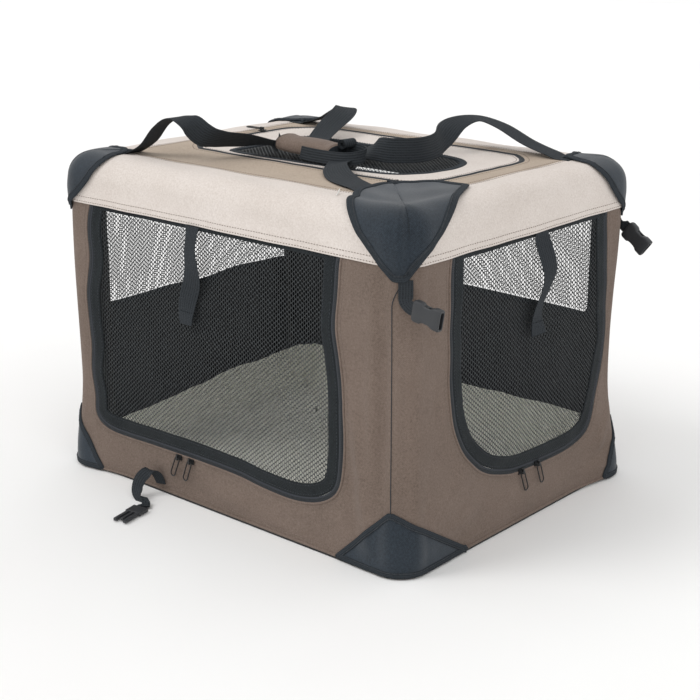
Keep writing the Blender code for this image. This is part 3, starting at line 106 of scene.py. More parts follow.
def node(tree: bpy.types.NodeTree, kind: str, inputs: dict[Any, Any], **settings: Any) -> bpy.types.Node:
    """Adds a node with its settings and links.

    Args:
        tree: The tree that it joins.
        kind: The node's type.
        inputs: A value or another node's output for each input, by name or number.
        settings: The node's own settings.

    Returns:
        The new node.
    """
    made = tree.nodes.new(kind)
    for key, value in settings.items():
        setattr(made, key, value)
    for key, value in inputs.items():
        if isinstance(value, bpy.types.NodeSocket):
            tree.links.new(value, made.inputs[key])
        else:
            made.inputs[key].default_value = value
    return made


@dataclass(frozen=True)
class Finish:
    """What every finish of the crate has: a name, a colour and how rough it is."""

    name: str
    colour: str
    roughness: float

    def material(self) -> bpy.types.Material:
        """Gives the finish's material, made at its first use."""
        made = bpy.data.materials.get(self.name)
        if made is None:
            made = bpy.data.materials.new(self.name)
            made.use_nodes = True
            tree = made.node_tree
            tree.nodes.clear()
            shader = node(tree, "ShaderNodeBsdfPrincipled", {"Roughness": self.roughness})
            node(tree, "ShaderNodeOutputMaterial", {"Surface": shader.outputs[0]})
            self.lay(tree, shader, node(tree, "ShaderNodeTexCoord", {}).outputs)
        return made

    def lay(self, tree: bpy.types.NodeTree, shader: bpy.types.Node, place: Any) -> None:
        """Sets the plain colour; a kind of finish lays its own pattern by the place of each point."""
        shader.inputs["Base Color"].default_value = linear(self.colour)

    def coat(self, tree: bpy.types.NodeTree, shader: bpy.types.Node, colour: Any, height: Any,
             relief: tuple[float, float], **rest: float) -> None:
        """Gives the shader its colour and relief.

        Args:
            tree: The tree of both.
            shader: The shader.
            colour: The output that colours it, or nothing to leave the plain colour.
            height: The output that raises it.
            relief: How strong the relief is, and how deep in metres.
            rest: The shader's other values, with an underscore for each blank.
        """
        bump = node(tree, "ShaderNodeBump", {"Height": height, "Strength": relief[0], "Distance": relief[1]})
        tree.links.new(bump.outputs[0], shader.inputs["Normal"])
        if colour is not None:
            tree.links.new(colour, shader.inputs["Base Color"])
        for name, value in rest.items():
            shader.inputs[name.replace("_", " ")].default_value = value


def shades(tree: bpy.types.NodeTree, factor: Any, dark: str, light: str, low: float, high: float) -> Any:
    """Runs a colour between two shades.

    Args:
        tree: The tree that the ramp joins.
        factor: The output that drives it.
        dark: The hex colour at the low end.
        light: The hex colour at the high end.
        low: Where the dark end stands.
        high: Where the light end stands.

    Returns:
        The ramp's colour output.
    """
    ramp = node(tree, "ShaderNodeValToRGB", {0: factor})
    first, last = ramp.color_ramp.elements
    first.position, first.color = low, linear(dark)
    last.position, last.color = high, linear(light)
    return ramp.outputs["Color"]


@dataclass(frozen=True)
class OxfordPolyester(Finish):
    """Woven polyester cloth, coated on its back.

    A basket weave of matt yarns: no gloss, a faint sheen at grazing light, small specks where the yarns cross,
    and slow random changes of tone across the cloth.
    """

    shade: str
    thread_mm: float = 2.6  # real yarn pairs lie 0.8 mm apart, too fine to show, so they are drawn coarser
    depth: float = 0.25
    sheen: float = 0.08

    def lay(self, tree: bpy.types.NodeTree, shader: bpy.types.Node, place: Any) -> None:
        """Lays weave, specks and slow shade changes."""
        scale = WAVE_MM / self.thread_mm
        waves = [node(tree, "ShaderNodeTexWave", {0: place["UV"], "Scale": scale, "Distortion": 0.0},
                      bands_direction=axis).outputs["Fac"] for axis in ("X", "Y")]
        ups = [node(tree, "ShaderNodeMath", {0: wave, 1: 0.5}, operation="SUBTRACT").outputs[0] for wave in waves]
        weave = node(tree, "ShaderNodeMath", {0: ups[0], 1: ups[1]}, operation="MULTIPLY").outputs[0]
        slow = node(tree, "ShaderNodeTexNoise", {0: place["Object"], "Scale": 9.0, "Detail": 4.0,
                                                 "Roughness": 0.6}).outputs["Fac"]
        specks = node(tree, "ShaderNodeTexNoise", {0: place["Object"], "Scale": 420.0,
                                                   "Detail": 1.0}).outputs["Fac"]
        calm = node(tree, "ShaderNodeMath", {0: slow, 1: 0.35, 2: 0.32}, operation="MULTIPLY_ADD").outputs[0]
        mixed = node(tree, "ShaderNodeMath", {0: specks, 1: 0.55, 2: calm}, operation="MULTIPLY_ADD").outputs[0]
        deep = node(tree, "ShaderNodeMath", {0: weave, 1: 0.35, 2: mixed}, operation="MULTIPLY_ADD").outputs[0]
        colour = shades(tree, deep, self.colour, self.shade, 0.45, 1.1)
        height = node(tree, "ShaderNodeMath", {0: specks, 1: 0.5, 2: weave}, operation="MULTIPLY_ADD").outputs[0]
        self.coat(tree, shader, colour, height, (self.depth, 0.0008), Sheen_Weight=self.sheen, Sheen_Roughness=0.5,
                  Specular_IOR_Level=0.12)


@dataclass(frozen=True)
class RibbedWebbing(Finish):
    """Woven polypropylene webbing: low ribs along it and tight picks across it, with a soft plastic gleam."""

    shade: str
    rib_mm: float = 3.8  # real ribs of this webbing are 2 mm, drawn coarser to show
    pick_mm: float = 2.4  # real picks are 1.2 mm

    def lay(self, tree: bpy.types.NodeTree, shader: bpy.types.Node, place: Any) -> None:
        """Lays ribs and picks."""
        ribs = node(tree, "ShaderNodeTexWave", {0: place["UV"], "Scale": WAVE_MM / self.rib_mm},
                    bands_direction="X").outputs["Fac"]
        picks = node(tree, "ShaderNodeTexWave", {0: place["UV"], "Scale": WAVE_MM / self.pick_mm,
                                                 "Distortion": 0.6}, bands_direction="Y").outputs["Fac"]
        both = node(tree, "ShaderNodeMath", {0: picks, 1: 0.5, 2: ribs}, operation="MULTIPLY_ADD").outputs[0]
        fuzz = node(tree, "ShaderNodeTexNoise", {0: place["Object"], "Scale": 260.0,
                                                 "Detail": 2.0}).outputs["Fac"]
        mixed = node(tree, "ShaderNodeMath", {0: fuzz, 1: 0.9, 2: both}, operation="MULTIPLY_ADD").outputs[0]
        colour = shades(tree, mixed, self.colour, self.shade, 0.3, 2.2)
        self.coat(tree, shader, colour, both, (0.55, 0.0009), Specular_IOR_Level=0.15)


@dataclass(frozen=True)
class PolarFleece(Finish):
    """Knitted pile fabric: no gloss, small tufts that catch the light, and a strong soft sheen."""

    shade: str

    def lay(self, tree: bpy.types.NodeTree, shader: bpy.types.Node, place: Any) -> None:
        """Lays tufts at the real 3 to 6 mm."""
        tufts = node(tree, "ShaderNodeTexVoronoi", {0: place["Object"], "Scale": 210.0}).outputs["Distance"]
        pile = node(tree, "ShaderNodeTexNoise", {0: place["Object"], "Scale": 320.0,
                                                 "Detail": 5.0}).outputs["Fac"]
        mixed = node(tree, "ShaderNodeMath", {0: tufts, 1: 0.6, 2: pile}, operation="MULTIPLY_ADD").outputs[0]
        colour = shades(tree, mixed, self.shade, self.colour, 0.2, 1.1)
        self.coat(tree, shader, colour, mixed, (0.35, 0.0012), Sheen_Weight=0.6)


@dataclass(frozen=True)
class Yarn(Finish):
    """Polyester yarn of the net or the sewing thread: matt, with a shade that changes from strand to strand."""

    shade: str

    def lay(self, tree: bpy.types.NodeTree, shader: bpy.types.Node, place: Any) -> None:
        """Lays the strands' shades."""
        fuzz = node(tree, "ShaderNodeTexNoise", {0: place["Object"], "Scale": 300.0,
                                                 "Detail": 2.0}).outputs["Fac"]
        self.coat(tree, shader, shades(tree, fuzz, self.colour, self.shade, 0.35, 0.7), fuzz, (0.4, 0.0005))


@dataclass(frozen=True)
class MouldedPlastic(Finish):
    """Injection moulded acetal: half gloss with the fine grain of a spark eroded mould and dull worn patches."""

    grain_mm: float = 0.9  # the real grain is 0.1 mm, drawn coarser to show

    def lay(self, tree: bpy.types.NodeTree, shader: bpy.types.Node, place: Any) -> None:
        """Lays the mould's grain and the wear."""
        grain = node(tree, "ShaderNodeTexNoise", {0: place["Object"], "Scale": 1000 / self.grain_mm,
                                                  "Detail": 2.0}).outputs["Fac"]
        wear = node(tree, "ShaderNodeTexNoise", {0: place["Object"], "Scale": 60.0,
                                                 "Detail": 4.0}).outputs["Fac"]
        rough = node(tree, "ShaderNodeMapRange", {0: wear, 1: 0.3, 2: 0.7, 3: self.roughness - 0.08,
                                                  4: self.roughness + 0.12}).outputs[0]
        shader.inputs["Base Color"].default_value = linear(self.colour)
        tree.links.new(rough, shader.inputs["Roughness"])
        self.coat(tree, shader, None, grain, (0.12, 0.0003), IOR=1.48)


@dataclass(frozen=True)
class CoatedMetal(Finish):
    """Metal under baked paint or powder: the coat's even gloss with an orange peel of about 2 mm."""

    metallic: float

    def lay(self, tree: bpy.types.NodeTree, shader: bpy.types.Node, place: Any) -> None:
        """Lays the orange peel."""
        peel = node(tree, "ShaderNodeTexNoise", {0: place["Object"], "Scale": 480.0}).outputs["Fac"]
        colour = shades(tree, peel, self.colour, "#3A3C3E", 0.4, 1.0)
        self.coat(tree, shader, colour, peel, (0.15, 0.0003), Metallic=self.metallic)


class Cloths(Enum):
    """The cloths and parts that the crate is made of."""

    TAUPE = OxfordPolyester("taupe_oxford_polyester", "#584C43", 0.9, "#807168")
    BORDER = OxfordPolyester("light_taupe_oxford_polyester", "#968778", 0.9, "#BDAD9C")
    CREAM = OxfordPolyester("cream_oxford_polyester", "#C1B6AD", 0.88, "#E1D9D3", depth=0.15)
    SLATE = OxfordPolyester("slate_oxford_polyester", "#181C21", 0.8, "#353E47", depth=0.35, sheen=0.25)
    LINING = OxfordPolyester("dark_coated_lining", "#26282B", 0.75, "#3D4043", depth=0.2, sheen=0.1)
    HEM = OxfordPolyester("doubled_net_hem", "#0B0D0E", 0.88, "#2A2F32", thread_mm=4.2, depth=0.7)
    NET = Yarn("knitted_net_yarn", "#1B1D1F", 0.75, "#35393B")
    THREAD = Yarn("taupe_sewing_thread", "#685A51", 0.8, "#83756B")
    DARK_THREAD = Yarn("dark_sewing_thread", "#202327", 0.8, "#3A3F45")
    WHITE_THREAD = Yarn("white_sewing_thread", "#CFCDC8", 0.8, "#F2F0EC")
    BINDING = RibbedWebbing("dark_binding_tape", "#16191C", 0.85, "#33383D", rib_mm=2.6)
    WEBBING = RibbedWebbing("dark_polypropylene_webbing", "#101214", 0.75, "#313539")
    TAPE = RibbedWebbing("zip_tape", "#1B2025", 0.75, "#3E4850", rib_mm=2.2, pick_mm=2.0)
    COIL = MouldedPlastic("nylon_zip_coil", "#2A2E31", 0.5)
    # Near pure white: the fleece's own pale colour, raised further as painted light that stands in for the light the
    # thin roof cloth lets into the crate.
    FLEECE = PolarFleece("pale_polar_fleece", "#FFFFF4", 0.95, "#E6E7D8")
    PLASTIC = MouldedPlastic("moulded_acetal", "#2E3033", 0.45)
    PAINT = CoatedMetal("painted_zinc", "#17181A", 0.38, 0.2)
    STEEL = CoatedMetal("powder_coated_steel", "#1E1F21", 0.42, 0.3)
    BOARD = MouldedPlastic("coated_base_board", "#2A2A2B", 0.85)


# Meshes

def unit(vectors: Array) -> Array:
    """Gives each row at length one."""
    return vectors / np.maximum(np.linalg.norm(vectors, axis=1, keepdims=True), 1e-12)


def evened(*values: Any) -> list[Array]:
    """Gives all values as arrays of one shape."""
    return list(np.broadcast_arrays(*(np.asarray(value, float) for value in values)))


@dataclass
class Shape:
    """A mesh before it becomes an object: points, faces, their coordinates in metres and their finish numbers."""

    points: Array
    faces: Array
    uv: Array
    kinds: Array | None = None

    def object(self, name: str, finishes: Sequence[Cloths], smooth: bool = True) -> bpy.types.Object:
        """Makes the object.

        Args:
            name: The object's name.
            finishes: Its materials, in the order of the faces' finish numbers.
            smooth: Whether its faces shade as one curve.

        Returns:
            The object, linked to the scene.
        """
        mesh = bpy.data.meshes.new(name)
        faces = [tuple(dict.fromkeys(face)) for face in self.faces.tolist()]
        kept = [i for i, face in enumerate(faces) if len(face) > 2]
        mesh.from_pydata(self.points.tolist(), [], [faces[i] for i in kept])
        layer = mesh.uv_layers.new(name="UVMap")
        corners = np.empty(len(mesh.loops), np.int32)
        mesh.loops.foreach_get("vertex_index", corners)
        layer.data.foreach_set("uv", self.uv[corners].astype(np.float32).ravel())
        if self.kinds is not None:
            mesh.polygons.foreach_set("material_index", self.kinds[kept].astype(np.int32))
        for finish in finishes:
            mesh.materials.append(finish.value.material())
        if smooth:
            mesh.shade_smooth()
            mesh.set_sharp_from_angle(angle=math.radians(55))
        mesh.validate()
        made = bpy.data.objects.new(name, mesh)
        bpy.context.scene.collection.objects.link(made)
        return made

    def area(self) -> float:
        """Gives the area of its faces."""
        p = self.points[self.faces]
        return float(np.linalg.norm(np.cross(p[:, 2] - p[:, 0], p[:, 3] - p[:, 1]), axis=1).sum() / 2)

    def normals(self) -> Array:
        """Gives each point's normal, from the faces round it."""
        p = self.points[self.faces]
        face = np.cross(p[:, 2] - p[:, 0], p[:, 3] - p[:, 1])
        total = np.zeros_like(self.points)
        for corner in range(4):
            np.add.at(total, self.faces[:, corner], face)
        return unit(total)

    def rim(self) -> Array:
        """Gives the directed edges that only one face has."""
        ends = np.concatenate([self.faces[:, [i, (i + 1) % 4]] for i in range(4)])
        ends = ends[ends[:, 0] != ends[:, 1]]
        key = np.sort(ends, axis=1)
        _, first, count = np.unique(key, axis=0, return_index=True, return_counts=True)
        return ends[first[count == 1]]

    def thick(self, thickness: float, inner: int = 0) -> "Shape":
        """Gives a closed sheet with this one as its outer skin.

        Args:
            thickness: The sheet's thickness.
            inner: The finish number of its inner skin.

        Returns:
            The closed sheet.
        """
        count = len(self.points)
        inside = self.points - self.normals() * thickness
        rim = self.rim()
        sides = np.stack([rim[:, 1], rim[:, 0], rim[:, 0] + count, rim[:, 1] + count], axis=1)
        faces = np.concatenate([self.faces, self.faces[:, ::-1] + count, sides])
        kinds = np.zeros(len(faces), int)
        kinds[len(self.faces):2 * len(self.faces)] = inner
        return Shape(np.concatenate([self.points, inside]), faces, np.concatenate([self.uv, self.uv]), kinds)

    def loops(self) -> list[Array]:
        """Gives its edges as loops of point numbers, the longest first."""
        following: dict[int, int] = {int(a): int(b) for a, b in self.rim()}
        loops = []
        while following:
            start, here = next(iter(following.items()))
            loop = [start]
            del following[start]
            while here in following and here != start:
                loop.append(here)
                here = following.pop(here)
            loops.append(np.array(loop))
        return sorted(loops, key=len, reverse=True)


def joined(shapes: Sequence[Shape], kinds: Sequence[int] | None = None) -> Shape:
    """Puts several shapes in one.

    Args:
        shapes: The shapes.
        kinds: A finish number for each, or nothing to keep their own.

    Returns:
        One shape.
    """
    start, faces, numbers = 0, [], []
    for i, shape in enumerate(shapes):
        faces.append(shape.faces + start)
        own = shape.kinds if shape.kinds is not None else np.zeros(len(shape.faces), int)
        numbers.append(own if kinds is None else np.full(len(shape.faces), kinds[i]))
        start += len(shape.points)
    return Shape(np.concatenate([s.points for s in shapes]), np.concatenate(faces),
                 np.concatenate([s.uv for s in shapes]), np.concatenate(numbers))


def lattice(us: Array, vs: Array) -> tuple[Array, Array]:
    """Gives a grid's points and its faces, seen with u to the right and v up.

    Args:
        us: The grid's places along.
        vs: Its places up.

    Returns:
        The points and the faces.
    """
    u, v = np.meshgrid(us, vs)
    columns = len(us)
    low = (np.arange(len(vs) - 1)[:, None] * columns + np.arange(columns - 1)).ravel()
    faces = np.stack([low, low + 1, low + columns + 1, low + columns], axis=1)
    return np.stack([u.ravel(), v.ravel()], axis=1), faces


def slope(keep: Callable[[Array], Array], flat: Array, step: float = 2e-4) -> tuple[Array, Array]:
    """Gives a distance field's values and its slope over flat points."""
    base = keep(flat)
    found = [(keep(flat + np.array(move)) - base) / step for move in ((step, 0.0), (0.0, step))]
    return base, np.stack(found, axis=1)


def trimmed(flat: Array, faces: Array, keep: Callable[[Array], Array], pitch: float) -> tuple[Array, Array]:
    """Trims a grid to where a distance field is positive, with its edge points set on the field's zero line.

    Args:
        flat: The grid's points.
        faces: Its faces.
        keep: The field, as a distance in metres.
        pitch: The grid's pitch.

    Returns:
        The points left and their faces.
    """
    flat = flat.copy()
    base, _ = slope(keep, flat)
    near = np.abs(base) < 0.72 * pitch
    for _ in range(3):
        value, grade = slope(keep, flat[near])
        size = np.maximum((grade ** 2).sum(axis=1), 0.05)
        flat[near] -= grade * (value / size)[:, None]
    base = np.where(near, 0.0, base)
    corners = base[faces]
    return used_only(flat, faces[(corners.min(axis=1) > -1e-6) & (corners.max(axis=1) > 1e-6)])


def used_only(flat: Array, faces: Array) -> tuple[Array, Array]:
    """Gives the points that faces use, and the faces with their new numbers.

    Args:
        flat: The points.
        faces: The faces.

    Returns:
        The points that are left, and the faces.
    """
    used = np.unique(faces)
    renumber = np.full(len(flat), -1)
    renumber[used] = np.arange(len(used))
    return flat[used], renumber[faces]


def spaced(low: float, high: float, pitch: float) -> Array:
    """Gives even values from low to high, about a pitch apart."""
    return np.linspace(low, high, max(2, int(round((high - low) / pitch)) + 1))


def resampled(path: Array, pitch: float, closed: bool = False) -> Array:
    """Gives points at an even pitch along a path.

    Args:
        path: The path's points.
        pitch: The wanted distance between points.
        closed: Whether the last point joins the first.

    Returns:
        The points, without a second first one on a closed path.
    """
    if closed:
        path = np.concatenate([path, path[:1]])
    run = run_along(path)
    count = max(2, int(round(run[-1] / pitch)) + 1)
    at = np.linspace(0, run[-1], count)
    found = np.stack([np.interp(at, run, path[:, k]) for k in range(path.shape[1])], axis=1)
    return found[:-1] if closed else found


def headings(path: Array, closed: bool = False) -> Array:
    """Gives the unit direction at each point of a path.

    Args:
        path: The path's points.
        closed: Whether the last point joins the first.

    Returns:
        One unit row for each point.
    """
    if closed:
        step = np.roll(path, -1, axis=0) - np.roll(path, 1, axis=0)
    else:
        step = np.gradient(path, axis=0)
    return unit(step)


def leftward(path: Array, closed: bool = False) -> Array:
    """Gives the unit direction to the left of each point of a flat path."""
    heading = headings(path, closed)
    return np.stack([-heading[:, 1], heading[:, 0]], axis=1)


def run_along(path: Array) -> Array:
    """Gives how far along a path each of its points lies."""
    return np.concatenate([[0.0], np.cumsum(np.linalg.norm(np.diff(path, axis=0), axis=1))])


def tube_faces(rings: int, sides: int, closed: bool) -> Array:
    """Gives the side faces between successive rings of points.

    Args:
        rings: How many rings there are.
        sides: How many points each has.
        closed: Whether the last ring joins the first.

    Returns:
        The faces.
    """
    last = rings if closed else rings - 1
    i, j = np.meshgrid(np.arange(last), np.arange(sides), indexing="ij")
    a, b = i * sides + j, i * sides + (j + 1) % sides
    c, d = ((i + 1) % rings) * sides + (j + 1) % sides, ((i + 1) % rings) * sides + j
    return np.stack([a.ravel(), b.ravel(), c.ravel(), d.ravel()], axis=1)


def end_faces(rings: int, sides: int) -> Array:
    """Gives the faces that close the first and the last ring of points."""
    cap = np.array([[k, k + 1, sides - 2 - k, sides - 1 - k] for k in range(sides // 2 - 1)])
    return np.concatenate([cap[:, ::-1], cap + (rings - 1) * sides])


def swept(centres: Array, sides: Array, ups: Array, section: Array, closed: bool = False) -> Shape:
    """Carries a section along a path.

    Args:
        centres: The path's points.
        sides: The direction of the section's first measure at each.
        ups: The direction of its second measure.
        section: The section's points, counter-clockwise, the same all along or one set for each point.
        closed: Whether the last point joins the first.

    Returns:
        A closed shape.
    """
    section = np.asarray(section, float)
    if section.ndim == 2:
        section = np.broadcast_to(section, (len(centres), *section.shape))
    points = centres[:, None] + sides[:, None] * section[:, :, :1] + ups[:, None] * section[:, :, 1:2]
    rings, count = points.shape[:2]
    run = np.broadcast_to(run_along(centres)[:, None], (rings, count))
    uv = np.stack([section[:, :, 0], run], axis=2)
    faces = tube_faces(rings, count, closed)
    if not closed:
        faces = np.concatenate([faces, end_faces(rings, count)])
    return outward(Shape(points.reshape(-1, 3), faces, uv.reshape(-1, 2)))


def outward(shape: Shape) -> Shape:
    """Turns a closed shape's faces so that they look out.

    Args:
        shape: The shape.

    Returns:
        The same shape.
    """
    p = shape.points[shape.faces]
    centre = shape.points.mean(axis=0)
    first = np.einsum("ij,ij->i", p[:, 0] - centre, np.cross(p[:, 1] - centre, p[:, 2] - centre))
    second = np.einsum("ij,ij->i", p[:, 0] - centre, np.cross(p[:, 2] - centre, p[:, 3] - centre))
    if (first + second).sum() < 0:
        shape.faces = shape.faces[:, ::-1].copy()
    return shape


def oval(width: float, height: float, count: int = 12, power: float = 2.0) -> Array:
    """Gives a section between an ellipse and a rectangle; a higher power is squarer.

    Args:
        width: Its width.
        height: Its height.
        count: How many points it has.
        power: How square it is.

    Returns:
        The points, counter-clockwise.
    """
    turn = np.linspace(0, 2 * math.pi, count, endpoint=False) + math.pi / count
    c, s = np.cos(turn), np.sin(turn)
    return np.stack([np.sign(c) * np.abs(c) ** (2 / power) * width / 2,
                     np.sign(s) * np.abs(s) ** (2 / power) * height / 2], axis=1)


def beads(points: Array, along: Array, up: Array, length: float, width: float, height: float) -> Shape:
    """Gives small rounded bars, one at each point.

    Args:
        points: The bars' middles, on the surface.
        along: Each bar's direction.
        up: The surface's normal there.
        length: A bar's length.
        width: Its width.
        height: How far it stands proud; it reaches half as far in.

    Returns:
        The bars as one shape.
    """
    across = unit(np.cross(up, along))
    corners = [(-0.5, -0.5, -0.5), (0.5, -0.5, -0.5), (0.5, 0.5, -0.5), (-0.5, 0.5, -0.5),
               (-0.34, -0.3, 1.0), (0.34, -0.3, 1.0), (0.34, 0.3, 1.0), (-0.34, 0.3, 1.0)]
    box = np.array([[0, 3, 2, 1], [4, 5, 6, 7], [0, 1, 5, 4], [1, 2, 6, 5], [2, 3, 7, 6], [3, 0, 4, 7]])
    placed = [points + along * (a * length) + across * (b * width) + up * (c * height) for a, b, c in corners]
    points = np.stack(placed, axis=1)
    faces = (np.arange(len(points))[:, None, None] * 8 + box[None]).reshape(-1, 4)
    return Shape(points.reshape(-1, 3), faces, np.zeros((points.shape[0] * 8, 2)))


def smooth_path(points: Sequence[Sequence[float]], steps: int = 4) -> Array:
    """Gives points on a smooth curve through the given ones.

    Args:
        points: The points.
        steps: How many pieces lie between two of them.

    Returns:
        The curve's points.
    """
    p = np.array(points, float)
    p = np.concatenate([[2 * p[0] - p[1]], p, [2 * p[-1] - p[-2]]])
    a, b, c, d = (p[k:len(p) - 3 + k, None] for k in range(4))
    t = (np.arange(steps) / steps)[None, :, None]
    found = 0.5 * (2 * b + (c - a) * t + (2 * a - 5 * b + 4 * c - d) * t ** 2
                   + (3 * b - a - 3 * c + d) * t ** 3)
    return np.concatenate([found.reshape(-1, p.shape[1]), p[-2:-1]])


def fade(value: Array, low: float, high: float) -> Array:
    """Gives 0 below low, 1 above high and a smooth rise between."""
    share = np.clip((value - low) / (high - low), 0, 1)
    return share * share * (3 - 2 * share)


# Carrying

@dataclass(frozen=True)
class Carrier:
    """The body that a piece moves with, with an anchor height and a kept share for how it would go slack as the crate
    folds; nothing here makes it go slack, and a kept share below one only gives the piece a mesh of its own.
    """

    body: str
    anchor: float = 0.0
    keep: float = 1.0

    def take(self, piece: bpy.types.Object, slot: str, nodes: Sequence[str] = ()) -> bpy.types.Object:
        """Hangs a finished piece on the body.

        Args:
            piece: The piece.
            slot: The material slot; not used.
            nodes: The plain solids that it stands for.

        Returns:
            The piece.
        """
        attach(piece, self.body)
        if self.keep < 1:
            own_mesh(piece)
        if nodes:
            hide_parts(*nodes)
        LOG.info("%s rides %s", piece.name, self.body)
        return piece

    def add(self, shape: Shape, name: str, finishes: Sequence[Cloths], slot: str, nodes: Sequence[str] = (),
            smooth: bool = True) -> bpy.types.Object:
        """Makes a shape's object and hangs it on the body.

        Args:
            shape: The shape.
            name: The object's name.
            finishes: Its materials, in the order of the faces' finish numbers.
            slot: The material slot; passed on, not used.
            nodes: The plain solids that it stands for.
            smooth: Whether its faces shade as one curve.

        Returns:
            The object.
        """
        return self.take(shape.object(name, finishes, smooth), slot, nodes)

    def sew(self, lines: Sequence[Shape], name: str, thread: Cloths, slot: str) -> None:
        """Adds lines of stitches as one piece."""
        self.add(joined(lines), f"{name}_stitching", (thread,), slot, smooth=False)


class Carriers(Enum):
    """The carriers that several pieces share."""

    WALL = Carrier("base", WALL_BOTTOM, 0.14)
    FOOT_CAP = Carrier("base", WALL_BOTTOM, 0.5)
    MAT = Carrier("base", WALL_BOTTOM, 0.2)
    FRONT_DOOR = Carrier("front_door", DOOR_TOP, 0.12)
    RIGHT_DOOR = Carrier("right_door", DOOR_TOP, 0.12)
    ROOF = Carrier("roof")
    FLAP = Carrier("roof_flap")


def puffed(piece: bpy.types.Object, limit: float, voxel: float = 0.004) -> None:
    """Swells a padded piece by a cloth simulation on an even copy of its mesh, and moves its own points along.

    Args:
        piece: The piece, before it rides a body.
        limit: How far a point may move.
        voxel: The copy's mesh size.
    """
    scene = bpy.context.scene
    copy = bpy.data.objects.new("swelling", piece.data.copy())
    scene.collection.objects.link(copy)
    remesh = copy.modifiers.new("even", "REMESH")
    remesh.mode, remesh.voxel_size = "VOXEL", voxel
    even = bpy.data.meshes.new_from_object(copy.evaluated_get(bpy.context.evaluated_depsgraph_get()))
    copy.modifiers.clear()
    copy.data = even
    start = np.array([v.co[:] for v in even.vertices])
    filling = copy.modifiers.new("filling", "CLOTH").settings
    filling.use_pressure, filling.uniform_pressure_force = True, 4.0
    filling.effector_weights.gravity = 0.0
    for frame in range(1, 21):
        scene.frame_set(frame)
    swollen = copy.evaluated_get(bpy.context.evaluated_depsgraph_get()).to_mesh()
    moves = np.array([v.co[:] for v in swollen.vertices]) - start
    scene.frame_set(1)
    size = np.linalg.norm(moves, axis=1, keepdims=True)
    moves *= np.minimum(1.0, limit / np.maximum(size, 1e-9))
    tree = KDTree(len(start))
    for index, point in enumerate(start):
        tree.insert(point, index)
    tree.balance()
    for vertex in piece.data.vertices:
        found = tree.find_n(vertex.co, 6)
        weights = np.array([1.0 / (gap + voxel / 4) for _, _, gap in found])
        move = weights @ moves[[index for _, index, _ in found]] / weights.sum()
        vertex.co = vertex.co + Vector(move)
    bpy.data.objects.remove(copy)
    LOG.info("%s swelled by %.1f mm at most", piece.name, 1000 * min(limit, float(size.max())))


# The crate's surfaces

@dataclass(frozen=True)
class Crease:
    """A soft fold on a side, from one point of it to another; a positive depth stands out."""

    start: tuple[float, float]
    end: tuple[float, float]
    width: float
    depth: float

    def at(self, s: Array, z: Array) -> Array:
        """Gives how far the fold moves each point.

        Args:
            s: Where each point lies along the side.
            z: Its height.

        Returns:
            How far out each moves.
        """
        a, b = np.array(self.start), np.array(self.end)
        run = b - a
        share = np.clip(((s - a[0]) * run[0] + (z - a[1]) * run[1]) / (run @ run), 0, 1)
        gap = np.hypot(s - a[0] - share * run[0], z - a[1] - share * run[1])
        end = np.sin(math.pi * np.clip(share, 0.04, 0.96)) ** 0.6
        return self.depth * np.exp(-(gap / self.width) ** 2) * end


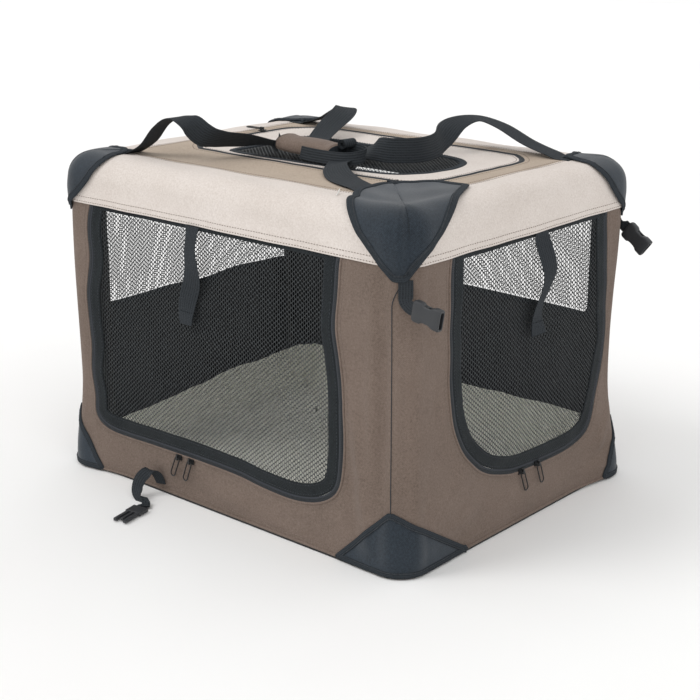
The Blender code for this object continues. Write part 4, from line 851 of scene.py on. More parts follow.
@dataclass(frozen=True)
class Side:
    """An upright side: its directions, half sizes, flares of its two corners and its folds."""

    along: tuple[float, float]
    out: tuple[float, float]
    half: float
    distance: float
    flares: tuple[tuple[float, float, float], tuple[float, float, float]]
    swell: float
    phase: float
    creases: tuple[Crease, ...] = ()
    calm: tuple[tuple[float, float, float, float], ...] = ()

    def reach(self) -> float:
        """Gives how far the side reaches, half way round its corners."""
        return self.half - CORNER_RADIUS + CORNER_RADIUS * math.pi / 4

    def relief(self, s: Array, z: Array) -> Array:
        """Gives how far slack cloth stands out from the true side at each point.

        Args:
            s: Where each point lies along the side.
            z: Its height.

        Returns:
            How far out each stands.
        """
        s, z = evened(s, z)
        reach = self.reach()
        height = np.clip(z / BAND_LOW, 0, 1)
        upright = fade(z, 0.0, 0.03) * (1 - fade(z, 0.425, 0.446))
        own = self.swell * np.sin(math.pi * height) ** 0.8 * np.cos(0.5 * math.pi * s / self.half) ** 2
        waves = ((0.0012, 21.0, 4.0, 0.0), (0.0009, -13.0, 23.0, 1.7), (0.0007, 47.0, 9.0, 0.6),
                 (0.0005, 31.0, -44.0, 2.9), (0.0003, 95.0, 25.0, 4.4), (0.0003, -70.0, 88.0, 5.1))
        for size, along, up, turn in waves:
            own = own + size * np.sin(along * s + up * z + turn + self.phase)
        for crease in self.creases:
            own = own + crease.at(s, z)
        for low, high, height_low, height_high in self.calm:
            box = fade(s, low - 0.03, low) * (1 - fade(s, high, high + 0.03))
            box = box * fade(z, height_low - 0.03, height_low) * (1 - fade(z, height_high, height_high + 0.03))
            own = own * (1 - 0.92 * box)
        total = own * upright
        for end, (top, middle, bottom) in zip((-1, 1), self.flares):
            to_seam = reach - end * s
            by_height = (bottom * (1 - fade(z, 0.0, 0.16)) + middle * np.sin(math.pi * height) ** 1.5
                         + top * fade(z, 0.16, 0.42))
            near = 1 - fade(to_seam, 0.0, 0.13)
            fold = 0.0016 * np.exp(-((to_seam - 0.018) / 0.008) ** 2) - 0.0012 * np.exp(-(to_seam / 0.004) ** 2)
            fold = fold - 0.0012 * np.exp(-((to_seam - 0.038) / 0.009) ** 2)
            total = total * fade(to_seam, 0.004, 0.05) + by_height * near + fold * upright
        return total

    def place(self, s: Array, z: Array, out: Any = 0.0) -> Array:
        """Gives points at s along the side and height z, that far out, round the corners too.

        Args:
            s: Where each point lies along the side.
            z: Its height.
            out: How far out it lies.

        Returns:
            The points.
        """
        s, z, out = evened(s, z, out)
        straight = self.half - CORNER_RADIUS
        turn = np.maximum(np.abs(s) - straight, 0) / CORNER_RADIUS
        radius = CORNER_RADIUS + out
        reach = np.where(turn > 0, straight + radius * np.sin(turn), np.abs(s)) * np.sign(s)
        depth = np.where(turn > 0, self.distance - CORNER_RADIUS + radius * np.cos(turn), self.distance + out)
        return self.world(reach, depth, z)

    def world(self, reach: Array, depth: Array, z: Array) -> Array:
        """Gives points at a reach along the side, a distance from the crate's middle and a height."""
        return np.stack([a * reach + o * depth for a, o in zip(self.along, self.out)] + [z], axis=-1)

    def skin(self, s: Array, z: Array, out: Any = 0.0) -> Array:
        """Gives points of the slack cloth, that far out from it."""
        return self.place(s, z, np.asarray(out) + self.relief(s, z))


NEAR_FLARE, RIGHT_FLARE = (0.001, 0.0, 0.0005), (0.003, -0.007, 0.013)
BACK_FLARE, LEFT_FLARE = (0.003, 0.0, 0.008), (0.006, 0.003, 0.014)
SIDES = {
    "front": Side((1, 0), (0, -1), LENGTH / 2, WIDTH / 2, (LEFT_FLARE, NEAR_FLARE), 0.003, 0.0, (
        Crease((0.24, 0.235), (0.262, 0.02), 0.01, -0.0045), Crease((0.262, 0.23), (0.286, 0.04), 0.009, 0.0045),
        Crease((0.314, 0.43), (0.312, 0.09), 0.01, -0.013),
        Crease((0.292, 0.42), (0.29, 0.1), 0.01, 0.004), Crease((0.262, 0.14), (0.312, 0.075), 0.007, -0.0022),
        Crease((-0.335, 0.3), (-0.31, 0.06), 0.008, -0.003),
        Crease((-0.2, 0.055), (0.05, 0.035), 0.012, 0.002), Crease((0.02, 0.05), (0.2, 0.022), 0.01, -0.0018)),
        ((-0.175, 0.2, 0.055, 0.085), (-0.13, 0.03, 0.3, 0.44))),
    "right": Side((0, 1), (1, 0), WIDTH / 2, LENGTH / 2, (NEAR_FLARE, RIGHT_FLARE), 0.003, 1.3, (
        Crease((0.23, 0.33), (0.245, 0.09), 0.009, -0.003), Crease((0.205, 0.06), (0.262, 0.13), 0.009, 0.0045),
        Crease((0.19, 0.045), (0.262, 0.06), 0.008, -0.004), Crease((0.17, 0.03), (0.255, 0.025), 0.007, 0.003),
        Crease((-0.225, 0.33), (-0.232, 0.11), 0.009, 0.0022), Crease((-0.1, 0.06), (-0.2, 0.04), 0.01, 0.002)),
        ((-0.06, 0.11, 0.07, 0.098), (-0.01, 0.07, 0.3, 0.44))),
    "back": Side((-1, 0), (0, 1), LENGTH / 2, WIDTH / 2, (RIGHT_FLARE, BACK_FLARE), 0.004, 2.1, (
        Crease((-0.1, 0.23), (0.14, 0.15), 0.014, -0.003), Crease((0.05, 0.215), (0.24, 0.2), 0.012, 0.003),
        Crease((-0.25, 0.17), (-0.14, 0.06), 0.012, 0.003)), ((0.1, 0.22, 0.0, 0.05),)),
    "left": Side((0, -1), (-1, 0), WIDTH / 2, LENGTH / 2, (BACK_FLARE, LEFT_FLARE), 0.004, 3.7, (
        Crease((-0.16, 0.2), (0.02, 0.12), 0.014, -0.003), Crease((0.03, 0.23), (0.16, 0.1), 0.012, 0.003))),
}


@dataclass(frozen=True)
class Opening:
    """An opening in a side or the roof, given as points round it; further in, it is shrunk by an inset."""

    outline: tuple[tuple[float, float], ...]
    open_top: bool = False
    inset: float = 0.0

    def curve(self) -> Array:
        """Gives the outline as a fine curve: from its top, down, along and up again, or all round."""
        points = np.array(self.outline, float)
        if self.open_top:
            found = smooth_path(points, 10)
        else:
            found = smooth_path(np.concatenate([points[-1:], points, points[:2]]), 10)[10:-11]
        if self.inset:
            found = self.untangled(found + leftward(found, not self.open_top) * self.inset)
        return found

    def untangled(self, found: Array) -> Array:
        """Smooths the knots that shrinking leaves in tight corners."""
        for _ in range(6):
            middle = (np.roll(found, 1, axis=0) + np.roll(found, -1, axis=0)) / 2
            if self.open_top:
                middle[[0, -1]] = found[[0, -1]]
            found = 0.5 * found + 0.5 * middle
        return found

    def inner(self, inset: float) -> "Opening":
        """Gives the opening that much smaller all round, but for an open top."""
        return Opening(self.outline, self.open_top, self.inset + inset)

    def box(self) -> tuple[float, float, float, float]:
        """Gives its lowest and highest place along and its bottom and top."""
        found = self.curve()
        return tuple(float(limit(found[:, axis])) for axis in (0, 1) for limit in (np.min, np.max))

    def distance(self, flat: Array) -> Array:
        """Gives how far each flat point is outside the opening; inside it is negative.

        Args:
            flat: The points.

        Returns:
            One distance for each.
        """
        loop = self.curve()[::2]
        after = np.roll(loop, -1, axis=0)
        nearest = np.full(len(flat), np.inf)
        crossings = np.zeros(len(flat), int)
        x, y = flat[:, 0], flat[:, 1]
        for (ax, ay), (bx, by) in zip(loop, after):
            dx, dy = bx - ax, by - ay
            size = max(dx * dx + dy * dy, 1e-18)
            share = np.clip(((x - ax) * dx + (y - ay) * dy) / size, 0, 1)
            nearest = np.minimum(nearest, (x - ax - share * dx) ** 2 + (y - ay - share * dy) ** 2)
            if ay != by:
                crossings += ((ay > y) != (by > y)) & (x < ax + (y - ay) / (by - ay) * dx)
        return np.sqrt(nearest) * np.where(crossings % 2 == 1, -1.0, 1.0)

    def path(self, inset: float, pitch: float = 0.004) -> Array:
        """Gives its edge, that far in, from the top, down, along and up again, or all round."""
        return resampled(self.inner(inset).curve(), pitch, not self.open_top)


def rounded(low: float, high: float, bottom: float, top: float, radius: float) -> Opening:
    """Gives an opening with four equal round corners.

    Args:
        low: Where it starts along.
        high: Where it ends along.
        bottom: Its lower edge.
        top: Its upper edge.
        radius: Its corners' radius.

    Returns:
        The opening.
    """
    points = []
    for x, y, start in ((low + radius, bottom + radius, 2), (high - radius, bottom + radius, 3),
                        (high - radius, top - radius, 0), (low + radius, top - radius, 1)):
        points += [(x + radius * math.cos((start + k / 3) * math.pi / 2),
                    y + radius * math.sin((start + k / 3) * math.pi / 2)) for k in range(4)]
        middle = {2: ((low + high) / 2, bottom), 3: (high, (bottom + top) / 2), 0: ((low + high) / 2, top),
                  1: (low, (bottom + top) / 2)}[start]
        points.append(middle)
    return Opening(tuple(points))


def metres(*points: tuple[float, ...]) -> tuple[tuple[float, ...], ...]:
    """Turns points from millimetres to metres."""
    return tuple(tuple(value / 1000 for value in point) for point in points)


# Zip lines of slack cloth, so none is straight
FRONT_DOOR = Opening(metres(
    (-284, 1000 * DOOR_TOP), (-290, 406), (-287, 361), (-299, 306), (-298, 254), (-295, 215), (-301, 172),
    (-291, 131), (-289, 100), (-268, 80), (-226, 73), (-156, 74), (-50, 75), (31, 74), (79, 69), (145, 67),
    (196, 78), (229, 103), (239, 144), (240, 199), (238, 260), (234, 300), (228, 340), (231, 385),
    (236, 1000 * DOOR_TOP)), True)
RIGHT_DOOR = Opening(metres(
    (-181, 1000 * DOOR_TOP), (-183, 394), (-185, 343), (-182, 310), (-181, 266), (-176, 220), (-162, 178),
    (-138, 143), (-98, 110), (-47, 91), (-9, 84), (64, 80), (122, 80), (167, 88), (190, 108), (206, 147),
    (217, 184), (226, 216), (231, 246), (221, 300), (213, 360), (208, 1000 * DOOR_TOP)), True)
BACK_WINDOW = rounded(-0.29, 0.22, 0.252, 0.44, 0.014)
LEFT_WINDOW = Opening(metres(
    (-240, 262), (-232, 252), (-220, 250), (-100, 254), (-20, 248), (60, 252), (140, 249), (186, 249), (197, 253),
    (204, 266), (202, 340), (200, 425), (193, 437), (180, 440), (-20, 440), (-215, 440), (-233, 436), (-240, 422),
    (-241, 340)))
FLAP = rounded(-0.262, 0.241, -0.106, 0.19, 0.066)
ROOF_NET = Opening(metres(
    (-170, -70), (-158, -82), (-100, -84), (0, -82), (100, -74), (150, -62), (178, -36), (190, 10), (185, 55),
    (164, 88), (120, 103), (0, 105), (-120, 105), (-160, 100), (-172, 80), (-173, 0)))


def strip(path: Array, surface: Surface, offsets: Array, heights: Array, closed: bool,
          under: float = 0.0) -> Shape:
    """Lays a closed strip along a flat path of a surface.

    Args:
        path: The flat path.
        surface: The surface that it lies on.
        offsets: Where its top points lie across the path, to its left.
        heights: How far each stands out.
        closed: Whether the path closes.
        under: How far out its underside lies.

    Returns:
        The strip.
    """
    left = leftward(path, closed)
    both = np.concatenate([offsets, offsets[::-1]])
    rise = np.concatenate([heights, np.full(len(offsets), under)])
    flat = path[:, None] + left[:, None] * both[None, :, None]
    points = surface(flat[:, :, 0].ravel(), flat[:, :, 1].ravel(), np.tile(rise, len(path)))
    count = len(both)
    uv = np.stack([np.tile(both, len(path)), np.repeat(run_along(path), count)], axis=1)
    faces = tube_faces(len(path), count, closed)
    if not closed:
        faces = np.concatenate([faces, end_faces(len(path), count)])
    return facing(Shape(points, faces, uv), surface, flat[0, 0], rise[0])


def facing(shape: Shape, surface: Surface, flat: Array, rise: float) -> Shape:
    """Turns a shape's faces so that its top looks away from the surface.

    Args:
        shape: The shape.
        surface: The surface that it lies on.
        flat: The flat place of its first point.
        rise: How far out that one lies.

    Returns:
        The same shape.
    """
    near = surface(flat[:1], flat[1:2], rise)[0]
    far = surface(flat[:1], flat[1:2], rise + 0.001)[0]
    p = shape.points[shape.faces[0]]
    if np.dot(np.cross(p[2] - p[0], p[3] - p[1]), far - near) < 0:
        shape.faces = shape.faces[:, ::-1].copy()
    return shape


def tape(path: Array, surface: Surface, width: float, base: float, crown: float, closed: bool,
         shift: float = 0.0, under: float = 0.0) -> Shape:
    """Lays a flat tape with rounded edges along a flat path of a surface.

    Args:
        path: The flat path.
        surface: The surface that it lies on.
        width: The tape's width.
        base: How far out its edges stand.
        crown: How far out its middle stands.
        closed: Whether the path closes.
        shift: How far its middle lies to the left of the path.
        under: How far out its underside lies.
    """
    share = np.array([-1.0, -0.86, -0.5, 0.0, 0.5, 0.86, 1.0])
    heights = base + (crown - base) * (1 - np.abs(share) ** 6)
    return strip(path, surface, share * width / 2 + shift, heights, closed, under)


def seam_points(path: Array, surface: Surface, out: float, shift: float, pitch: float,
                closed: bool) -> tuple[Array, Array, Array]:
    """Gives even points along a surface's seam, with their directions and normals.

    Args:
        path: The flat path.
        surface: The surface.
        out: How far out the points lie.
        shift: How far to the left of the path.
        pitch: How far apart.
        closed: Whether the path closes.

    Returns:
        The points, directions and normals.
    """
    flat = resampled(path + leftward(path, closed) * shift, pitch, closed)
    s, z = flat[:, 0], flat[:, 1]
    points = surface(s, z, out)
    return points, headings(points, closed), unit(surface(s, z, out + 0.001) - points)


def stitched(path: Array, surface: Surface, out: float, shift: float = 0.0, closed: bool = False,
             pitch: float = 0.0052, width: float = 0.0011) -> Shape:
    """Sews a line of lock stitches; real ones are 4 mm apart and 0.5 mm wide, drawn larger to show."""
    points, along, up = seam_points(path, surface, out, shift, pitch, closed)
    return beads(points, along, up, 0.62 * pitch, width, 0.0005)


def zip_coil(path: Array, surface: Surface, out: float, shift: float, closed: bool = False) -> Shape:
    """Rows of nylon coil, drawn 2.6 mm apart where the real coil's turns are 1.3 mm apart."""
    points, along, up = seam_points(path, surface, out, shift, 0.0026, closed)
    return beads(points, np.cross(up, along), up, 0.005, 0.0017, 0.0011)


def cloth(flat: Array, faces: Array, surface: Surface, out: float = 0.0) -> Shape:
    """Lays trimmed flat faces on a surface.

    Args:
        flat: The flat points.
        faces: Their faces.
        surface: The surface.
        out: How far out they lie.

    Returns:
        The cloth, with its faces looking out.
    """
    shape = Shape(surface(flat[:, 0], flat[:, 1], out), faces, flat)
    return facing(shape, surface, flat[faces[0, 0]], out)


def net(opening: Opening, surface: Surface, out: float, hole: float = 0.76) -> Shape:
    """Knits a net of six sided holes over an opening.

    Args:
        opening: The opening that it fills.
        surface: The surface that it lies on.
        out: How far out it lies.
        hole: A hole's size as a share of its cell.

    Returns:
        The net as one sheet of strands.
    """
    low, high, bottom, top = opening.box()
    columns = int((high - low) / CELL_ACROSS * 2) + 2
    rows = int((top - bottom) / (2 * CELL_UP)) + 2
    i, j = np.meshgrid(np.arange(columns), np.arange(rows), indexing="ij")
    half = CELL_ACROSS / 2
    x = low + i * half
    y = bottom + (2 * j + i % 2) * CELL_UP
    centres = np.stack([x, y], axis=2)
    far, near = 0.7 * half, 0.3 * half
    corners = np.array([(far, 0.0), (near, CELL_UP), (-near, CELL_UP), (-far, 0.0), (-near, -CELL_UP),
                        (near, -CELL_UP)])
    flat = centres[:, :, None] + corners[None, None] * hole
    number = np.arange(columns * rows * 6).reshape(columns, rows, 6)
    here = (opening.distance(centres.reshape(-1, 2)) < -0.0035).reshape(columns, rows)
    quads = []

    def link(di: int, dj: Array, mine: tuple[int, int], theirs: tuple[int, int]) -> None:
        """Joins each cell to one neighbour by the strand between them."""
        oi, oj = i + di, j + dj
        fits = here & (oi >= 0) & (oi < columns) & (oj >= 0) & (oj < rows)
        a = number[i[fits], j[fits]]
        ok = here[oi[fits], oj[fits]]
        b = number[oi[fits], oj[fits]]
        quads.append(np.stack([a[:, mine[0]], b[:, theirs[0]], b[:, theirs[1]], a[:, mine[1]]], axis=1)[ok])

    odd = i % 2
    link(1, odd, (0, 1), (4, 3))
    link(1, odd - 1, (5, 0), (3, 2))
    link(0, np.ones_like(i), (1, 2), (5, 4))
    knots = (((i + 1, j + odd - 1), (i + 1, j + odd), (0, 2, 4)), ((i + 1, j + odd), (i, j + 1), (1, 3, 5)))
    for (pi, pj), (oi, oj), (mine, first, second) in knots:
        fits = here & (oi < columns) & (oj < rows) & (pi < columns) & (pj >= 0) & (pj < rows)
        fits[fits] &= here[oi[fits], oj[fits]] & here[pi[fits], pj[fits]]
        a, b, c = number[i[fits], j[fits]], number[pi[fits], pj[fits]], number[oi[fits], oj[fits]]
        quads.append(np.stack([a[:, mine], b[:, first], c[:, second], c[:, second]], axis=1))
    flat, faces = used_only(flat.reshape(-1, 2), np.concatenate(quads))
    return Shape(surface(flat[:, 0], flat[:, 1], out), faces, flat)


def flat_area(flat: Array, faces: Array) -> float:
    """Gives the flat area of faces."""
    p = flat[faces]
    a, b = p[:, 2] - p[:, 0], p[:, 3] - p[:, 1]
    return float(np.abs(a[:, 0] * b[:, 1] - a[:, 1] * b[:, 0]).sum() / 2)


# Walls

def level_path(low: float, high: float, height: float, pitch: float = 0.006) -> Array:
    """Gives a flat path at one height."""
    along = spaced(low, high, pitch)
    return np.stack([along, np.full(len(along), height)], axis=1)


@dataclass
class Wall:
    """One fabric wall with its opening, piping and seams."""

    name: str
    opening: Opening
    pitch: float = 0.0055
    thickness: float = 0.0016
    seam: float = 0.0

    def build(self) -> None:
        """Builds the cloth, the piping along its foot, a dark strip on its corner seam that paints the shade of the
        fold there, and its sewing.
        """
        side = SIDES[self.name]
        reach = side.reach()
        flat, faces = lattice(spaced(-reach, reach, self.pitch), spaced(WALL_BOTTOM, WALL_TOP, self.pitch))
        flat, faces = trimmed(flat, faces, self.opening.distance, self.pitch)
        sheet = cloth(flat, faces, side.skin).thick(self.thickness, 1)
        piece = Carriers.WALL.value.add(sheet, f"{self.name}_wall_cloth", (Cloths.TAUPE, Cloths.LINING),
                                        "taupe_fabric", [f"{self.name}_wall"])
        self.trim(side, reach)

    def trim(self, side: Side, reach: float) -> None:
        """Lays the piping along the foot and, up one corner, a dark strip on the seam whose colour is painted shade of
        the fold there, and sews round the opening.
        """
        foot = level_path(-reach, reach, 0.0056)
        piping = strip(foot, side.skin, np.array([-0.0023, -0.0016, 0.0, 0.0016, 0.0023]),
                       np.array([0.0002, 0.0018, 0.0026, 0.0018, 0.0002]), False, -0.0005)
        heights = spaced(0.012, BAND_LOW - 0.006, 0.006)
        beside = self.seam * (1 - fade(heights, 0.39, 0.44))
        upright = np.stack([reach - 0.0002 - beside, heights], axis=1)
        # A strip up the corner seam: the seam is real, but its dark binding colour is painted shade of the fold beside
        # it.
        corner = strip(upright, side.skin, np.array([0.0, 0.0006, 0.0012]), np.array([0.0006, 0.0005, 0.0001]),
                       False, -0.0004)
        Carriers.WALL.value.add(joined([piping, corner], (0, 1)), f"{self.name}_wall_piping_and_painted_seam_shade",
                                (Cloths.TAUPE, Cloths.BINDING), "taupe_fabric")
        Carriers.WALL.value.sew([stitched(self.opening.path(-0.008), side.skin, 0.0, closed=not self.opening.open_top),
                                 stitched(foot + np.array([0.0, 0.0085]), side.skin, 0.0)], f"{self.name}_wall",
                                Cloths.THREAD, "taupe_fabric")


@dataclass
class Window:
    """A net window sewn into a wall, with its binding."""

    name: str
    opening: Opening
    binding: float = 0.008

    def build(self) -> None:
        """Builds the net and the binding round it."""
        side = SIDES[self.name]
        mesh = net(self.opening, side.skin, -0.0008)
        piece = Carriers.WALL.value.add(mesh, f"{self.name}_window_net", (Cloths.NET,), "black_net",
                                        [f"{self.name}_window"], False)
        low, high, bottom, top = self.opening.box()
        mesh.area()
        path = self.opening.path(0.001)
        made = [tape(path, side.skin, self.binding, 0.0002, 0.0011, True, 0.0, -0.0026),
                stitched(path, side.skin, 0.0011, -0.0045, True)]
        Carriers.WALL.value.add(joined(made, (0, 1)), f"{self.name}_window_binding",
                                (Cloths.BINDING, Cloths.DARK_THREAD), "slate_fabric")


@dataclass
class Door:
    """A net door with its hem, and the zip that closes it."""

    name: str
    opening: Opening
    carrier: Carrier
    hem: float = 0.02
    zip_width: float = 0.008

    def build(self) -> None:
        """Builds net, hem, zip tape, coil and the folded lip over the zip."""
        side = SIDES[self.name]
        clear = self.opening.inner(self.zip_width + 0.0006)
        mesh = net(clear.inner(self.hem * 0.35), side.skin, -0.001)
        piece = self.carrier.add(mesh, f"{self.name}_door_net", (Cloths.NET,), "black_net", [f"{self.name}_door"],
                                 False)
        low, high, bottom, top = self.opening.box()
        mesh.area()
        path = clear.path(0.0)
        hem = strip(path, side.skin, np.linspace(0.0002, self.hem, 6),
                    np.array([0.0, 0.0007, 0.0004, 0.0004, 0.0006, 0.0]), False, -0.0018)
        low, high = path[:, 0].min() + self.hem * 0.8, path[:, 0].max() - self.hem * 0.8
        edge = strip(level_path(low, high, DOOR_TOP - 0.0005), side.skin, -np.linspace(0.0, 0.006, 4)[::-1],
                     np.array([0.0, 0.0004, 0.0004, 0.0]), False, -0.0018)
        self.carrier.add(joined([hem, edge]), f"{self.name}_door_hem", (Cloths.HEM,), "black_net")
        self.carrier.sew([stitched(path, side.skin, 0.0005, shift) for shift in (0.0035, self.hem - 0.003)],
                         f"{self.name}_door", Cloths.DARK_THREAD, "black_net")
        self.zip(side)

    def zip(self, side: Side) -> None:
        """Builds the two tapes, the coil between them and the wall's folded edge."""
        path = self.opening.path(self.zip_width / 2)
        tapes = tape(path, side.skin, self.zip_width + 0.0008, 0.0, 0.0005, False, 0.0, -0.0022)
        coil = zip_coil(path, side.skin, 0.0002, 0.0)
        edge = self.opening.path(-0.001)
        lip = tape(edge, side.skin, 0.0036, 0.0002, 0.0016, False, 0.0, -0.0006)
        Carriers.WALL.value.add(joined([tapes, coil], (0, 1)), f"{self.name}_zip_coil", (Cloths.TAPE, Cloths.COIL),
                                "zip_tape", [f"{self.name}_zip"])
        Carriers.WALL.value.add(lip, f"{self.name}_zip_lip", (Cloths.TAUPE,), "taupe_fabric")


# Bands, roof and caps

def rolled(profile: Array) -> tuple[Array, Array, Array]:
    """Gives the inset, height and turn of points up the band's section, from its hem over the roll.

    Args:
        profile: How far up the section each point lies.

    Returns:
        The insets, heights and turns.
    """
    turn = np.clip((profile - BAND_RISE) / ROLL_RADIUS, 0, math.pi / 2)
    inset = ROLL_RADIUS * (1 - np.cos(turn)) + np.maximum(profile - BAND_RISE - ROLL_RADIUS * math.pi / 2, 0)
    height = BAND_LOW + np.minimum(profile, BAND_RISE) + ROLL_RADIUS * np.sin(turn)
    return inset, height, turn


@dataclass(frozen=True)
class Roll:
    """The surface of the bands and caps over the top edge, from one side or round one corner."""

    side: Side
    wave: float = 0.0012

    def skin(self, s: Array, profile: Array, out: Any = 0.0) -> Array:
        """Gives points at s along the side and that far up the section, that far out from the plain band.

        Args:
            s: Where each point lies along the side.
            profile: How far up the section.
            out: How far out.

        Returns:
            The points.
        """
        s, profile, out = evened(s, profile, out)
        inset, height, turned = rolled(profile)
        low = 1 - fade(profile, 0.0, 0.03)
        slack = self.wave * low * (1 + np.sin(23 * s + self.side.phase) + 0.6 * np.sin(61 * s + 1.0))
        slack = slack + 0.001 * np.sin(37 * s + 90 * profile + self.side.phase) * np.sin(
            math.pi * np.clip(profile / 0.15, 0, 1))
        slack = slack * (1 - fade(np.abs(s), self.side.half - 0.1, self.side.half - 0.04))
        corner_flare = self.side.relief(s, np.full_like(s, 0.44)) * (1 - fade(profile, 0.02, 0.09))
        out = out + slack + corner_flare
        inset_out = inset - out * np.cos(turned)
        height = height + out * np.sin(turned)
        straight = self.side.half - CORNER_RADIUS
        turn = np.clip((np.abs(s) - straight) / CORNER_RADIUS, 0, math.pi / 4)
        radius = np.maximum(CORNER_RADIUS - inset_out, 0.002)
        limit = self.side.half - inset_out - radius
        reach = np.where(turn > 0, limit + radius * np.sin(turn), np.abs(s) * limit / straight) * np.sign(s)
        depth = self.side.distance - inset_out - radius + radius * np.cos(turn)
        return self.side.world(reach, depth, height)


@dataclass
class Band:
    """The broad cream strip over one top edge."""

    name: str
    pitch: float = 0.005
    out: float = 0.0019

    def build(self) -> None:
        """Builds the strip, its double stitched hem and the seam to the roof."""
        side = SIDES[self.name]
        roll = Roll(side)
        reach = side.reach() - 0.0002
        flat, faces = lattice(spaced(-reach, reach, self.pitch), spaced(0, BAND_RUN, self.pitch))
        piece = Carriers.ROOF.value.add(cloth(flat, faces, roll.skin, self.out).thick(ROOF_PLY),
                                        f"{self.name}_band_cloth", (Cloths.CREAM,), "cream_fabric",
                                        [f"{self.name}_band"])
        lines = [stitched(level_path(-reach, reach, height, self.pitch), roll.skin, self.out)
                 for height in (0.003, 0.0105, BAND_RUN - 0.0035)]
        Carriers.ROOF.value.sew(lines, f"{self.name}_band", Cloths.THREAD, "cream_fabric")


def level(x: Array, y: Array, out: Any = 0.0) -> Array:
    """Gives points of the roof cloth, which sags a little between the seams.

    Args:
        x: Where each lies along X.
        y: Where each lies along Y.
        out: How far above the cloth.

    Returns:
        The points.
    """
    x, y, out = evened(x, y, out)
    across = np.clip(1 - np.abs(x) / (LENGTH / 2 - SEAM_INSET), 0, 1)
    up = np.clip(1 - np.abs(y) / (WIDTH / 2 - SEAM_INSET), 0, 1)
    edge = fade(np.minimum(across * 0.285, up * 0.21), 0.0, 0.05)
    slack = -0.0016 * edge + 0.0007 * edge * np.sin(19 * x + 7 * y) * np.sin(13 * y - 5 * x + 1.0)
    slack = slack + 0.0003 * edge * np.sin(71 * x + 40 * y) * np.sin(83 * y - 22 * x)
    return np.stack([x, y, ROOF_OVER + slack + out], axis=-1)


@dataclass
class Roof:
    """The roof's border, its zipped flap and the flap's net window."""

    pitch: float = 0.0055
    zip_width: float = 0.008

    def build(self) -> None:
        """Builds border, flap, net and zip."""
        seam = SEAM_INSET + 0.0003
        half_x, half_y = LENGTH / 2 - seam, WIDTH / 2 - seam
        flat, faces = lattice(spaced(-half_x, half_x, self.pitch), spaced(-half_y, half_y, self.pitch))
        flat, faces = trimmed(flat, faces, FLAP.distance, self.pitch)
        piece = Carriers.ROOF.value.add(cloth(flat, faces, level).thick(ROOF_PLY), "roof_border_cloth",
                                        (Cloths.BORDER,), "taupe_fabric", ["roof_panel"])
        cross = np.array([[0.1935, -0.233, ROOF_OVER + 0.0016]] * 2)
        ways = np.array([[0.505, -0.863, 0.0], [-0.52, 0.854, 0.35]])
        knot = beads(cross, unit(ways), np.tile([0.0, 0.0, 1.0], (2, 1)), 0.026, 0.0014, 0.0008)
        Carriers.ROOF.value.add(knot, "roof_border_tack", (Cloths.WHITE_THREAD,), "taupe_fabric")
        seam_path = resampled(np.array([(-half_x, -half_y), (half_x, -half_y), (half_x, half_y), (-half_x, half_y)]),
                              0.005, True)
        lines = [stitched(seam_path, level, 0.0, 0.004, True), stitched(FLAP.path(-0.007), level, 0.0, 0.0, True)]
        Carriers.ROOF.value.sew(lines, "roof_border", Cloths.THREAD, "taupe_fabric")
        self.flap()
        self.zip()

    def flap(self) -> None:
        """Builds the flap's cloth round its net window, and the window's binding."""
        edge = FLAP.inner(self.zip_width + 0.0006)
        low, high, bottom, top = edge.box()
        flat, faces = lattice(spaced(low - 0.006, high + 0.006, self.pitch),
                              spaced(bottom - 0.006, top + 0.006, self.pitch))
        flat, faces = trimmed(flat, faces, lambda p: -edge.distance(p), self.pitch)
        flat, faces = trimmed(flat, faces, ROOF_NET.inner(0.0005).distance, self.pitch)
        piece = Carriers.FLAP.value.add(cloth(flat, faces, level).thick(ROOF_PLY), "roof_flap_cloth",
                                        (Cloths.CREAM,), "cream_fabric", ["roof_flap"])
        mesh = net(ROOF_NET, level, -0.001)
        piece = Carriers.FLAP.value.add(mesh, "roof_flap_net", (Cloths.NET,), "black_net", smooth=False)
        low, high, bottom, top = ROOF_NET.box()
        mesh.area()
        path = ROOF_NET.path(0.0)
        binding = [tape(path, level, 0.011, 0.0001, 0.0009, True, 0.0, -0.0022),
                   stitched(path, level, 0.0009, -0.004, True), stitched(edge.path(0.004), level, 0.0, 0.0, True)]
        Carriers.FLAP.value.add(joined(binding, (0, 1, 2)), "roof_flap_binding",
                                (Cloths.BINDING, Cloths.DARK_THREAD, Cloths.THREAD), "slate_fabric")

    def zip(self) -> None:
        """Builds the zip round the flap."""
        path = FLAP.path(self.zip_width / 2)
        tapes = tape(path, level, self.zip_width + 0.0008, -0.0002, 0.0003, True, 0.0, -0.0014)
        coil = zip_coil(path, level, 0.0002, 0.0, True)
        Carriers.ROOF.value.add(joined([tapes, coil], (0, 1)), "roof_zip_coil", (Cloths.TAPE, Cloths.COIL),
                                "zip_tape", ["roof_zip"])


@dataclass(frozen=True)
class Corner:
    """An upright corner between two sides; t runs along them, from its seam."""

    name: str
    first: str
    second: str

    def place(self, t: Array, z: Array, out: Any, surface: Callable[[Side], Surface]) -> Array:
        """Gives points round the corner on the surface that each side has.

        Args:
            t: How far from the seam each point lies.
            z: Its height.
            out: How far out it lies.
            surface: Gives a side's surface.

        Returns:
            The points.
        """
        t, z, out = evened(t, z, out)
        one, two = SIDES[self.first], SIDES[self.second]
        before = surface(one)(one.reach() + np.minimum(t, 0), z, out)
        after = surface(two)(-two.reach() + np.maximum(t, 0), z, out)
        return np.where((t < 0)[..., None], before, after)

    def wall(self, t: Array, z: Array, out: Any = 0.0) -> Array:
        """Gives points round the foot of the corner."""
        return self.place(t, z, out, lambda side: side.skin)

    def top(self, t: Array, profile: Array, out: Any = 0.0) -> Array:
        """Gives points round the rolled top of the corner."""
        return self.place(t, profile, out, lambda side: Roll(side).skin)

    def lengths(self, along_x: float, along_y: float) -> tuple[float, float]:
        """Gives how far a cap reaches along the first and the second side from the corner."""
        return (along_x, along_y) if abs(SIDES[self.first].along[0]) else (along_y, along_x)


